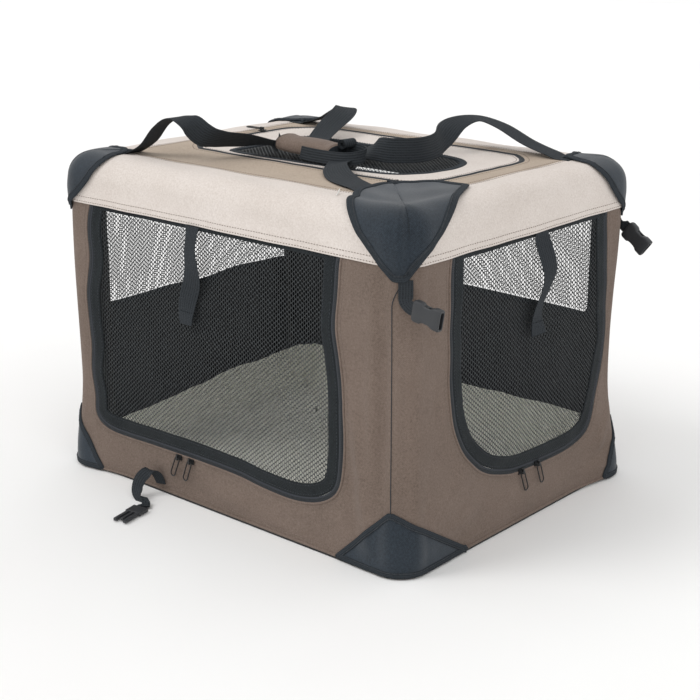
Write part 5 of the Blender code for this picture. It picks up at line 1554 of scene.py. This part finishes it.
FOOT_CAP_REACHES = {"front_right": (0.128, 0.148), "front_left": (0.08, 0.11), "back_right": (0.11, 0.06),
                    "back_left": (0.11, 0.11)}
CORNERS = (Corner("front_right", "front", "right"), Corner("back_right", "right", "back"),
           Corner("back_left", "back", "left"), Corner("front_left", "left", "front"))


def bound_patch(name: str, shape: Shape, carrier: Carrier, area: float,
                binding: float) -> None:
    """Makes a cap from its outer skin, and binds and sews its edge.

    Args:
        name: The cap's name, which the plain solid that it stands for has too.
        shape: Its outer skin.
        carrier: What carries it.
        area: The cut's area; not used.
        binding: The binding's width.
    """
    normals = shape.normals()
    loop = shape.loops()[0]
    both = resampled(np.concatenate([shape.points[loop], normals[loop]], axis=1), 0.004, True)
    for _ in range(4):
        both = 0.5 * both + 0.25 * (np.roll(both, 1, axis=0) + np.roll(both, -1, axis=0))
    centres, ups = both[:, :3], unit(both[:, 3:])
    along = headings(centres, True)
    inward = np.cross(ups, along)
    share = np.array([-1.0, -0.8, 0.0, 0.8, 1.0, 1.0, -1.0])
    rise = np.array([0.0004, 0.0011, 0.0013, 0.0011, 0.0004, -0.0008, -0.0008])
    section = np.stack([(share + 0.86) * binding / 2, rise], axis=1)
    trim = swept(centres, inward, ups, section, True)
    sewn = centres + inward * (binding * 0.74) + ups * 0.0012
    at = resampled(np.concatenate([sewn, ups], axis=1), 0.0052, True)
    sewing = beads(at[:, :3], headings(at[:, :3], True), at[:, 3:], 0.0032, 0.0011, 0.0005)
    piece = carrier.add(shape.thick(ROOF_PLY), f"{name}_cloth", (Cloths.SLATE,), "slate_fabric", [name])
    carrier.add(joined([trim, sewing], (0, 1)), f"{name}_binding", (Cloths.BINDING, Cloths.DARK_THREAD),
                "slate_fabric")


# A top cap's edge: along the long side to the left of its corner, along the short side to the right, and up over
# the roll
CAP_EDGE = metres(
    (-19, -16), (-9, -18), (3, -16), (22, 15), (51, 39), (97, 65), (150, 89), (180, 104), (186, 111), (179, 133),
    (160, 157), (130, 172), (102, 183), (50, 197), (0, 203), (-37, 199), (-70, 184), (-98, 158), (-115, 131),
    (-120, 106), (-113, 83), (-99, 67), (-72, 44), (-46, 18))
SMALL_CAP_EDGE = metres(
    (-11, -14), (0, -16), (11, -14), (24, 3), (44, 21), (66, 44), (80, 62), (82, 76), (74, 96), (55, 116),
    (30, 128), (0, 132), (-30, 128), (-55, 116), (-74, 96), (-82, 76), (-80, 62), (-66, 44), (-44, 21), (-24, 3))


@dataclass
class TopCap:
    """A three cornered cap over a top corner."""

    corner: Corner
    pitch: float = 0.0045

    def edge(self) -> Opening:
        """Gives the cap's edge round its corner."""
        return Opening(CAP_EDGE if self.corner.name == "front_right" else SMALL_CAP_EDGE)

    def build(self) -> None:
        """Builds the cap with a pinched fold down to its tip, its binding and its diagonal seam."""
        edge = self.edge()
        low, high, bottom, top = edge.box()
        flat, faces = lattice(spaced(low - 0.01, high + 0.01, self.pitch),
                              spaced(bottom - 0.008, top + 0.01, self.pitch))
        flat, faces = trimmed(flat, faces, lambda p: -edge.distance(p), self.pitch)
        t, up = flat[:, 0], flat[:, 1]
        hanging = 1 - fade(up, 0.045, 0.105)
        size = 1.0 if self.corner.name == "front_right" else 0.35
        lobes = 0.0052 * (1 - np.exp(-((t - 0.003) / 0.008) ** 2)) * hanging * np.clip((up + 0.018) / 0.04, 0, 1)
        ridge = 0.0022 * np.exp(-((t + 0.008) / 0.004) ** 2) * hanging - 0.003 * fade(-up, -0.004, 0.014) / size
        lobes, ridge = lobes * size, ridge * size
        slack = 0.0009 * np.sin(60 * t + 35 * up) * np.sin(55 * up - 20 * t + 1.0) + 0.0005
        points = self.corner.top(t, up, CAP_OUT + 0.0008 + lobes + ridge + slack)
        shape = facing(Shape(points, faces, flat), self.corner.top, flat[faces[0, 0]], CAP_OUT)
        name = f"{self.corner.name}_top_cap"
        bound_patch(name, shape, Carriers.ROOF.value, shape.area(), 0.011)
        seam = level_path(-0.01, 0.082, 0.003, 0.004)[:, ::-1]
        line = strip(seam, self.corner.top, np.array([-0.0008, 0.0, 0.0008]),
                     np.array([0.0, 0.0009, 0.0]) + CAP_OUT + 0.001, False, CAP_OUT)
        Carriers.ROOF.value.add(line, f"{name}_seam", (Cloths.BINDING,), "slate_fabric")


@dataclass
class FootCap:
    """A three cornered cap round a bottom corner."""

    corner: Corner
    along_x: float
    along_y: float
    height: float = 0.094
    tip_half: float = 0.004
    pitch: float = 0.0045

    def build(self) -> None:
        """Builds the cap, its two line binding and its sewing."""
        one, two = self.corner.lengths(self.along_x, self.along_y)
        one, two = one - CORNER_RADIUS * (1 - math.pi / 4), two - CORNER_RADIUS * (1 - math.pi / 4)
        lean = -SEAM_SHIFT if self.corner.name == "front_right" else 0.0

        def keep(flat: Array) -> Array:
            """Gives how far inside the cap each flat point lies."""
            t, z = flat[:, 0], flat[:, 1] - WALL_BOTTOM
            found = self.height - z
            for reach, sign in ((two, 1), (one, -1)):
                run = reach - sign * lean - self.tip_half
                size = math.hypot(run, self.height)
                found = np.minimum(found, (self.height * (reach - sign * t) - run * z) / size)
            return found

        flat, faces = lattice(spaced(-one - 0.01, two + 0.01, self.pitch),
                              spaced(WALL_BOTTOM, WALL_BOTTOM + self.height + 0.01, self.pitch))
        flat, faces = trimmed(flat, faces, keep, self.pitch)
        swell = 0.0015 * np.clip(keep(flat) / 0.03, 0, 1)
        points = self.corner.wall(flat[:, 0], flat[:, 1], 0.0019 + swell)
        shape = facing(Shape(points, faces, flat), self.corner.wall, flat[faces[0, 0]], 0.0019)
        name = f"{self.corner.name}_bottom_cap"
        bound_patch(name, shape, Carriers.FOOT_CAP.value,
                    flat_area(flat, faces), 0.009)


# Webbing

FRONT_ROUTE = metres(
    (-292, -204, 0), (-262, -202, 0.5), (-232, -199, 16), (-205, -196, 45), (-178, -192, 60), (-155, -184, 54),
    (-140, -168, 35), (-128, -146, 27), (-112, -110, 22), (-98, -70, 15), (-86, -52, 12.5), (-60, -50, 10.5),
    (-20, -52, 9.5), (20, -54, 9.5), (48, -58, 8.5), (66, -82, 7.5), (86, -118, 6), (118, -146, 2), (158, -168, 0),
    (205, -186, 0), (262, -198, 0), (292, -204, 0))
FRONT_WIDTHS = (
    (0, 1, 0), (0, 1, 0), (0, 1, 0.1), (0, 1, 0.1), (0.1, 1, 0), (0.35, 1, 0), (0.8, 1, 0.2), (1, 0.9, 0.4),
    (1, 0.5, 0.5), (1, 0.3, 0.2), (0.6, 1, 0), (0.1, 1, 0), (0, 1, 0), (0, 1, 0), (0, 1, 0), (0.7, 0.7, 0.1),
    (0.85, 0.45, 0.3), (0.7, 0.6, 0.25), (0.5, 0.9, 0.1), (0.4, 0.9, 0), (0.2, 1, 0), (0, 1, 0))
REAR_ROUTE = metres(
    (-292, 204, 0), (-262, 203, 0.5), (-225, 200, 10), (-190, 194, 26), (-158, 184, 36), (-136, 150, 32),
    (-120, 100, 19), (-96, 45, 5), (-64, 8, 2), (-20, -4, 2), (20, -4, 3), (50, -6, 10), (80, -18, 18.5),
    (115, -20, 20), (141, 12, 20), (134, 60, 20), (114, 105, 26), (104, 150, 40), (122, 184, 46), (160, 196, 36),
    (210, 201, 14), (262, 203, 0.5), (292, 204, 0))
REAR_WIDTHS = (
    (0, 1, 0), (0, 1, 0), (0, 1, 0), (0.1, 1, 0), (0.4, 1, -0.2), (1, 0.5, -0.5), (1, 0.3, -0.3), (1, 0.5, 0),
    (0.5, 1, 0), (0, 1, 0), (0, 1, 0), (0, 1, 0.5), (0.1, 0.6, 1), (-0.1, 0.1, 1), (-0.1, 0, 1), (-0.2, 0, 1),
    (-0.5, 0, 0.8), (-1, 0.2, 0.4), (-0.6, 0.8, 0.1), (-0.1, 1, 0), (0, 1, 0), (0, 1, 0), (0, 1, 0))


def stations(centres: Array, widths: Array) -> tuple[Array, Array, Array]:
    """Gives a path's points with the side and up directions of what lies along it.

    Args:
        centres: The path's points.
        widths: The direction across it at each, or one for all.

    Returns:
        The points, side directions and up directions.
    """
    along = headings(centres)
    side = unit(widths - along * (widths * along).sum(axis=1, keepdims=True))
    return centres, side, np.cross(side, along)


def ribbon(centres: Array, widths: Array, width: float, thickness: float) -> Shape:
    """Carries a flat strap along a path."""
    return swept(*stations(centres, widths), oval(width, thickness, 12, 5.0))


@dataclass
class Handle:
    """A carrying handle of broad webbing from cap to cap."""

    name: str
    route: Sequence[Sequence[float]]
    widths: Sequence[Sequence[float]]
    width: float = 0.038
    thickness: float = 0.0018
    steps: int = 8
    tucked: float = CAP_REACH

    def stations(self) -> tuple[Array, Array, Array]:
        """Gives the webbing's middle line with its side and up directions."""
        line = smooth_path(self.route, self.steps)
        under = np.where(line[:, 0] > 0, self.tucked, CAP_REACH)
        tuck = 0.0027 * fade(np.abs(line[:, 0]) - under, -0.012, 0.01)
        line[:, 2] = HANDLE_ROOT_Z - tuck + np.maximum(line[:, 2], 0)
        return stations(line, unit(smooth_path(self.widths, self.steps)))

    def build(self) -> None:
        """Builds the webbing and the box stitch at each end."""
        centres, side, up = self.stations()
        shape = swept(centres, side, up, oval(self.width, self.thickness, 16, 5.0))
        carrier = Carrier(self.name)
        carrier.add(shape, f"{self.name}_webbing", (Cloths.WEBBING,), "webbing", [self.name])
        ends = [self.bars(centres[end], side[end], up[end], sign) for end, sign in ((0, 1), (-1, -1))]
        carrier.sew(ends, self.name, Cloths.DARK_THREAD, "webbing")

    def bars(self, root: Array, side: Array, up: Array, sign: int) -> Shape:
        """Sews three bars across one end of the webbing.

        Args:
            root: The end's middle.
            side: The direction across.
            up: The direction up.
            sign: Which way the webbing runs along X.

        Returns:
            The bars.
        """
        normal = up * math.copysign(1.0, up[2])
        made = []
        for along in (0.006, 0.013, 0.02):
            ends = [root + normal * self.thickness / 2 + np.array([sign * along, 0, 0]) + side * b
                    for b in (-0.015, 0.015)]
            path = resampled(np.array(ends), 0.0046)
            made.append(beads(path, headings(path), np.tile(normal, (len(path), 1)), 0.0032, 0.001, 0.0005))
        return joined(made)


@dataclass
class Grip:
    """The padded sleeve round the front handle's middle, with a loop of webbing out of its end."""

    handle: Handle
    first: float = 41.0
    last: float = 55.0
    width: float = 0.048
    height: float = 0.025

    def build(self) -> None:
        """Builds the sleeve, its dark bound ends, and the loop and roll at its far end."""
        centres, side, up = self.handle.stations()
        per = self.handle.steps / 4
        part = slice(int(self.first * per), int(self.last * per) + 1)
        line = resampled(np.concatenate([centres[part], side[part], up[part]], axis=1), 0.004)
        centres, side, up = stations(line[:, :3] + [0.0, 0.0, 0.004], np.array([0.15, 1.0, 0.0]))
        up = up * np.sign(up[:, 2:])
        share = np.linspace(0, 1, len(centres))
        puff = 0.84 + 0.16 * np.sin(math.pi * share) ** 0.5
        section = oval(self.width, self.height, 28, 2.5)
        sections = section[None] * np.stack([0.97 + 0.03 * puff, puff], axis=1)[:, None]
        sections[:, :, 1] += 0.001 * np.sin(9 * share * math.pi)[:, None] * (section[None, :, 1] > 0)
        piece = swept(centres, side, up, sections).object("handle_grip_sleeve", (Cloths.TAUPE,))
        puffed(piece, 0.0025)
        carrier = Carrier("front_handle")
        carrier.take(piece, "taupe_fabric", ["handle_grip"])
        trims = [swept(centres[cut], side[cut], up[cut], sections[cut] * 1.06) for cut in (slice(4), slice(-4, None))]
        carrier.add(joined(trims), "handle_grip_bound_ends", (Cloths.BINDING,), "slate_fabric")
        self.loop(centres[-1], carrier)

    def loop(self, end: Array, carrier: Carrier) -> None:
        """Builds the strap that loops out of the grip's end, and its rolled tail.

        Args:
            end: The grip's end.
            carrier: What carries the strap.
        """
        route = [(-0.062, -0.022, -0.003), (-0.04, -0.027, -0.003), (-0.012, -0.029, -0.003), (0.014, -0.032, -0.002),
                 (0.036, -0.031, -0.001), (0.051, -0.018, 0.001), (0.05, -0.001, 0.003), (0.034, 0.01, 0.004),
                 (0.014, 0.012, 0.005), (-0.004, 0.011, 0.005)]
        path = smooth_path(route, 5) + end
        strap = ribbon(path, np.array([0.0, 0.25, 1.0]), 0.02, 0.0018)
        turn = np.linspace(0, 2.6 * 2 * math.pi, 60)
        radius = 0.0028 + 0.0019 * turn / (2 * math.pi)
        spiral = np.stack([radius * np.cos(turn), np.zeros(60), radius * np.sin(turn)], axis=1)
        spiral += end + np.array([0.01, 0.004, 0.0145])
        roll = ribbon(spiral, np.array([0.15, 1.0, 0.0]), 0.024, 0.0016)
        carrier.add(joined([strap, roll]), "handle_grip_loop", (Cloths.WEBBING,), "webbing")


@dataclass
class Tie:
    """A webbing strap that hangs from the top of a door, for tying it up."""

    name: str
    side: str
    s: float
    carrier: Carrier
    length: float = 0.15
    width: float = 0.03
    thickness: float = 0.0015
    route: tuple[tuple[float, float, float], ...] = (
        (0.0, 1.0, 0.008), (0.0, 0.92, 0.02), (0.02, 0.76, 0.07), (0.055, 0.6, 0.085),
        (0.03, 0.44, 0.06), (-0.045, 0.28, 0.04), (-0.08, 0.14, 0.04), (-0.075, 0.0, 0.055))

    def build(self) -> None:
        """Builds the strap and its folded end."""
        side = SIDES[self.side]
        line = [side.place(self.s + a * self.length, DOOR_TOP - 0.0003 - (1 - h) * self.length,
                           self.thickness + o * self.length + 0.0012) for a, h, o in self.route]
        path = smooth_path(np.array(line), 8)
        twist = 0.25 * np.sin(np.linspace(0, 2.2 * math.pi, len(path)))
        widths = np.array([*side.along, 0.0]) + np.outer(twist, [*side.out, 0.0])
        centres, across, up = stations(path, widths)
        strap = swept(centres, across, up, oval(self.width, self.thickness, 12, 5.0))
        tail = slice(len(centres) - 8, len(centres))
        fold = swept(centres[tail], across[tail], up[tail], oval(self.width * 1.01, self.thickness * 2.2, 12, 5.0))
        self.carrier.add(joined([strap, fold]), f"{self.name}_strap", (Cloths.WEBBING,), "webbing", [self.name])


@dataclass
class BuckleStrap:
    """The short strap of one buckle half."""

    name: str
    body: str
    path: Array
    widths: Array
    width: float = 0.02
    thickness: float = 0.0018

    def build(self) -> None:
        """Builds the strap."""
        strap = ribbon(self.path, self.widths, self.width, self.thickness)
        Carrier(self.body).add(strap, f"{self.name}_webbing", (Cloths.WEBBING,), "webbing", [self.name])


def female_strap(where: str, tilt: float, drop: float) -> BuckleStrap:
    """Lays the strap that turns out from under a top cap's tip to its socket.

    Args:
        where: The side of the crate.
        tilt: How far the socket points down.
        drop: How far the strap hangs before it bends.

    Returns:
        The strap.
    """
    bend, swell, tail, pocket, thickness = 0.0135, 0.0065, 0.006, 0.008, 0.0018
    front = SIDES["front"]
    root = front.place(front.reach(), CAP_TIP - STRAP_ROOT_DROP, GAP + thickness / 2)
    tangent = np.array([1.0, 1.0, 0.0]) / math.sqrt(2)
    lift = np.array([1.0, -1.0, 0.0]) / math.sqrt(2) * 0.0025
    down = np.array([0.0, 0.0, 1.0])
    points, widths = [root, root - down * drop + lift], [tangent, tangent]
    turn, steps = math.pi / 2 - tilt, 5
    for i in range(steps):
        share = (i + 1) / steps
        yaw = math.pi / 4 * (1 - share)
        ahead = np.array([math.cos(yaw), math.sin(yaw), 0.0])
        middle = turn * (i + 0.5) / steps
        step = ahead * math.sin(middle) - down * math.cos(middle)
        points.append(points[-1] + step * bend * turn / steps + np.array([0.0, -swell / steps, 0.0]))
        widths.append(ahead * math.cos(turn * share) + down * math.sin(turn * share))
    heading = np.array([math.cos(tilt), 0.0, -math.sin(tilt)])
    points += [points[-1] + heading * tail, points[-1] + heading * (tail + pocket - GAP)]
    widths += [widths[-1]] * 2
    flip = np.array([1.0, -1.0 if where == "back" else 1.0, 1.0])
    return BuckleStrap(f"{where}_female_strap", f"{where}_female_buckle", np.array(points) * flip,
                       np.array(widths) * flip)


def male_strap(where: str) -> BuckleStrap:
    """Lays the strap that curls from the foot of a wall to its plug.

    Args:
        where: The side of the crate.

    Returns:
        The strap.
    """
    route = ((-0.142, 0.0012, 0.014), (-0.144, 0.007, 0.03), (-0.148, 0.018, 0.0385), (-0.155, 0.03, 0.03),
             (-0.154, 0.04, 0.016), (-0.141, 0.048, 0.008), (-0.123, 0.055, 0.0047), (-0.112, 0.064, 0.0043))
    widths = ((1, 0.1, 0), (1, 0.3, 0), (1, 0.5, 0), (1, 0.6, 0), (1, 0.2, 0), (1, -0.3, 0), (0.9, -0.4, 0),
              (1, -0.2, 0))
    points = smooth_path([(x, -WIDTH / 2 - out, z) for x, out, z in route], 4)
    across = smooth_path(widths, 4)
    heading = np.array([math.cos(math.radians(-78)), math.sin(math.radians(-78)), 0.0])
    ends = np.array([points[-1] + heading * 0.006, points[-1] + heading * 0.0137])
    turned = np.cross(heading, [0.0, 0.0, 1.0])
    flip = np.array([1.0, -1.0 if where == "back" else 1.0, 1.0])
    return BuckleStrap(f"{where}_male_strap", f"{where}_male_buckle", np.concatenate([points, ends]) * flip,
                       np.concatenate([across, [turned, turned]]) * flip)


# A socket's form from its strap end: how far along, half width and half depth; the last two lie inside its mouth
SOCKET_FORM = metres(
    (0, 12.5, 4), (1.5, 14, 5), (4, 14.9, 5.5), (12, 14.9, 5.5), (14.5, 14.2, 5.5), (16.5, 12.4, 5.4),
    (20, 11.7, 5.4), (27, 11.8, 5.4), (31, 12.8, 5.5), (33.5, 14.5, 5.5), (36, 14.9, 5.5), (44.5, 14.9, 5.5),
    (46, 14, 4.8), (45.8, 11.8, 3.4), (23.5, 11.2, 3.2))


def socket(where: str, strap: BuckleStrap) -> None:
    """Builds the socket at a strap's end: waisted, with a window through its sides and a deep mouth.

    Args:
        where: The side of the crate.
        strap: The strap that holds it.
    """
    start, ahead = strap.path[-2], strap.path[-1] - strap.path[-2]
    ahead, across = ahead / np.linalg.norm(ahead), strap.widths[-1]
    up = np.cross(across, ahead)
    form = np.array(SOCKET_FORM)
    sections = np.stack([oval(2 * width, 2 * depth, 24, 6.0) for _, width, depth in form])
    tiled = [np.tile(way, (len(form), 1)) for way in (across, up)]
    name = f"{where}_female_buckle"
    shape = swept(start + ahead * (form[:, :1] + GAP), *tiled, sections)
    piece = shape.object(f"{where}_socket", (Cloths.PLASTIC,))
    middle = start + ahead * 0.0235
    ends = np.array([middle - across * 0.02, middle + across * 0.02])
    window = swept(ends, np.tile(ahead, (2, 1)), np.tile(up, (2, 1)), oval(0.0115, 0.0058, 16, 7.0)).object(
        "prong_window", (Cloths.PLASTIC,))
    cut = piece.modifiers.new("window", "BOOLEAN")
    cut.operation, cut.solver, cut.object = "DIFFERENCE", "EXACT", window
    piece.data = bpy.data.meshes.new_from_object(piece.evaluated_get(bpy.context.evaluated_depsgraph_get()))
    piece.modifiers.clear()
    bpy.data.objects.remove(window)
    Carrier(name).take(piece, "black_plastic", [name])


# Floor mat

@dataclass
class Mat:
    """The fleece pad on the floor, whose edge curls up the walls."""

    half_x: float = 0.315
    half_y: float = 0.25
    radius: float = 0.045
    base: float = 0.022
    crown: float = 0.005
    rim_height: float = 0.084
    rim_width: float = 0.046
    rim_thickness: float = 0.016
    sides: int = 220
    insets: tuple[float, ...] = (0.23, 0.193, 0.15, 0.101, 0.08, 0.06, 0.05, 0.0442, 0.039, 0.0331, 0.028,
                                 0.023, 0.017, 0.012, 0.008, 0.0046, 0.0018, 0.0005)

    def ring(self, inset: float, lift: float) -> Array:
        """Gives one loop of the pad's skin; lift 1 is its top and 0 its underside.

        Args:
            inset: How far inside the pad's edge.
            lift: Its place between underside and top.

        Returns:
            The points.
        """
        corner = max(self.radius - inset, self.radius / 4)
        path = rounded(inset - self.half_x, self.half_x - inset, inset - self.half_y, self.half_y - inset,
                       corner).path(0.0, 0.001)
        at = np.arange(self.sides) * len(path) // self.sides
        x, y = path[at, 0], path[at, 1]
        rise = 1 + np.where(y > 0, 0.18, 0.4) * y / self.half_y
        bend = max(0.0, 1 - inset / self.rim_width)
        top = self.base + (self.rim_height - self.base) * rise * bend ** 2
        top = top + self.crown * min(1.0, inset / self.half_y) ** 0.5
        angle = np.arctan2(y, x)
        top = top + 0.0016 * bend * (np.sin(9 * angle) + 0.7 * np.sin(17 * angle + 1.3) + 0.4 * np.sin(31 * angle))
        under = np.maximum(WALL_BOTTOM, top - self.rim_thickness - self.base * min(1.0, inset / self.rim_width))
        return np.stack([x, y, under + (top - under) * lift], axis=1)

    def build(self) -> None:
        """Builds the pad."""
        rings = [self.ring(inset, 1.0) for inset in self.insets]
        rings.append(self.ring(0.0, 0.5))
        rings += [self.ring(inset, 0.0) for inset in reversed(self.insets)]
        points = np.concatenate(rings)
        faces = np.concatenate([tube_faces(len(rings), self.sides, False), end_faces(len(rings), self.sides)])
        shape = outward(Shape(points, faces, points[:, :2].copy()))
        piece = shape.object("floor_mat_fleece", (Cloths.FLEECE,))
        puffed(piece, 0.003, 0.006)
        Carriers.MAT.value.take(piece, "fleece", ["floor_mat"])


# Rigid parts

@dataclass(frozen=True)
class Hardware:
    """The rigid parts that keep the shape of their solids and take their real finish."""

    finish: Cloths
    nodes: tuple[str, ...]

    def dress(self) -> None:
        """Gives each part its finish."""
        for name in self.nodes:
            part = bpy.data.objects[name]
            for slot in part.material_slots:
                slot.material = self.finish.value.material()
            LOG.info("%s is finished in %s", name, self.finish.value.name)


ZIP_ENDS = ("front_left", "front_right", "right_near", "right_far", "roof")
HARDWARE = (
    Hardware(Cloths.STEEL, ("base_ring", "top_ring", "right_end_frame", "left_end_frame")),
    Hardware(Cloths.PLASTIC, ("right_front_hinge_bracket", "right_back_hinge_bracket", "left_front_hinge_bracket",
                              "left_back_hinge_bracket", "right_frame_clip", "left_frame_clip",
                              "front_male_buckle", "back_male_buckle")),
    Hardware(Cloths.PAINT, tuple(f"{end}_{part}" for end in ZIP_ENDS for part in ("slider", "pull"))),
    Hardware(Cloths.BOARD, ("floor_panel",)),
)


# Studio

@dataclass(frozen=True)
class Studio:
    """The camera at the photograph's angle, soft lamps, and a pale floor."""

    position: tuple[float, float, float] = (1.5067, -1.7117, 0.9251)
    azimuth: float = 41.131
    elevation: float = 14.978
    lens: float = 75.98
    shift_y: float = -0.1

    def camera(self) -> None:
        """Sets up the camera."""
        data = bpy.data.cameras.new("camera")
        data.lens, data.sensor_width, data.shift_y = self.lens, 36.0, self.shift_y
        data.clip_end = 50.0
        camera = bpy.data.objects.new("camera", data)
        bpy.context.scene.collection.objects.link(camera)
        turn, rise = math.radians(self.azimuth), math.radians(self.elevation)
        back = Vector((math.sin(turn) * math.cos(rise), -math.cos(turn) * math.cos(rise), math.sin(rise)))
        camera.location = Vector(self.position)
        camera.rotation_euler = back.to_track_quat("Z", "Y").to_euler()
        bpy.context.scene.camera = camera

    def sun(self, name: str, toward: tuple[float, float, float], power: float, spread: float) -> None:
        """Adds a broad, far lamp.

        Args:
            name: Its name.
            toward: The direction in which it stands.
            power: Its strength.
            spread: How wide it looks, in degrees.
        """
        data = bpy.data.lights.new(name, "SUN")
        data.energy, data.angle = power, math.radians(spread)
        light = bpy.data.objects.new(name, data)
        bpy.context.scene.collection.objects.link(light)
        light.location = Vector(toward)
        light.rotation_euler = Vector(toward).to_track_quat("Z", "Y").to_euler()

    def floor(self) -> None:
        """Lays the pale, near white floor."""
        shape = Shape(np.array([(-9.0, -9.0, 0.0), (9.0, -9.0, 0.0), (9.0, 9.0, 0.0), (-9.0, 9.0, 0.0)]),
                      np.array([[0, 1, 2, 3]]), np.zeros((4, 2)))
        floor = shape.object("studio_floor", (), smooth=False)
        material = bpy.data.materials.new("pale_studio_floor")
        material.use_nodes = True
        tree = material.node_tree
        tree.nodes.clear()
        place = node(tree, "ShaderNodeTexCoord", {}).outputs
        # Painted board: matt, near white, so that only the contact shadow shows
        soft = node(tree, "ShaderNodeTexNoise", {0: place["Object"], "Scale": 2.0}).outputs["Fac"]
        base = node(tree, "ShaderNodeBsdfPrincipled", {"Base Color": shades(tree, soft, "#F7F6F5", "#FAFAF9",
                                                                          0.3, 0.7), "Roughness": 0.9})
        node(tree, "ShaderNodeOutputMaterial", {"Surface": base.outputs[0]})
        floor.data.materials.append(material)

    def sky(self, level: float) -> None:
        """Lights the scene evenly, and shows white behind the crate."""
        world = bpy.data.worlds.new("studio")
        bpy.context.scene.world = world
        world.use_nodes = True
        tree = world.node_tree
        tree.nodes.clear()
        path = node(tree, "ShaderNodeLightPath", {})
        seen = node(tree, "ShaderNodeMath", {0: path.outputs["Is Camera Ray"], 1: path.outputs["Is Glossy Ray"]},
                    operation="MAXIMUM")
        seen = node(tree, "ShaderNodeMath", {0: seen.outputs[0], 1: path.outputs["Is Transmission Ray"]},
                    operation="MAXIMUM")
        lit = node(tree, "ShaderNodeBackground", {"Color": linear("#FFFFFF"), "Strength": level})
        white = node(tree, "ShaderNodeBackground", {"Color": linear("#FFFFFF"), "Strength": 1.0})
        mix = node(tree, "ShaderNodeMixShader", {0: seen.outputs[0], 1: lit.outputs[0], 2: white.outputs[0]})
        node(tree, "ShaderNodeOutputWorld", {"Surface": mix.outputs[0]})

    def build(self) -> None:
        """Builds the studio."""
        self.camera()
        self.floor()
        self.sky(0.86)
        self.sun("key_sun", (-0.55, -0.75, 1.0), 0.8, 25.0)
        self.sun("fill_sun", (0.8, -0.5, 0.9), 0.3, 40.0)
        bpy.context.scene.view_settings.view_transform = "Standard"


def main() -> None:
    """Builds and dresses every piece, then the studio."""
    logging.basicConfig(level=logging.INFO, format="%(message)s")
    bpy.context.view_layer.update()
    Studio().build()
    for hardware in HARDWARE:
        hardware.dress()
    for name, opening in (("front", FRONT_DOOR), ("right", RIGHT_DOOR), ("back", BACK_WINDOW),
                          ("left", LEFT_WINDOW)):
        Wall(name, opening, seam=SEAM_SHIFT if name == "front" else 0.0).build()
        Band(name).build()
    Window("back", BACK_WINDOW).build()
    Window("left", LEFT_WINDOW).build()
    Door("front", FRONT_DOOR, Carriers.FRONT_DOOR.value).build()
    Door("right", RIGHT_DOOR, Carriers.RIGHT_DOOR.value).build()
    Roof().build()
    for corner in CORNERS:
        TopCap(corner).build()
        FootCap(corner, *FOOT_CAP_REACHES[corner.name]).build()
    Mat().build()
    front = Handle("front_handle", FRONT_ROUTE, FRONT_WIDTHS, tucked=0.2)
    front.build()
    Grip(front).build()
    Handle("rear_handle", REAR_ROUTE, REAR_WIDTHS).build()
    Tie("front_door_tie", "front", -0.051, Carriers.FRONT_DOOR.value).build()
    Tie("right_door_tie", "right", 0.028, Carriers.RIGHT_DOOR.value).build()
    for where, tilt, drop in (("front", math.radians(10), 0.02), ("back", math.radians(38), 0.006)):
        strap = female_strap(where, tilt, drop)
        strap.build()
        socket(where, strap)
    for where in ("front", "back"):
        male_strap(where).build()


if __name__ == "__main__":
    main()
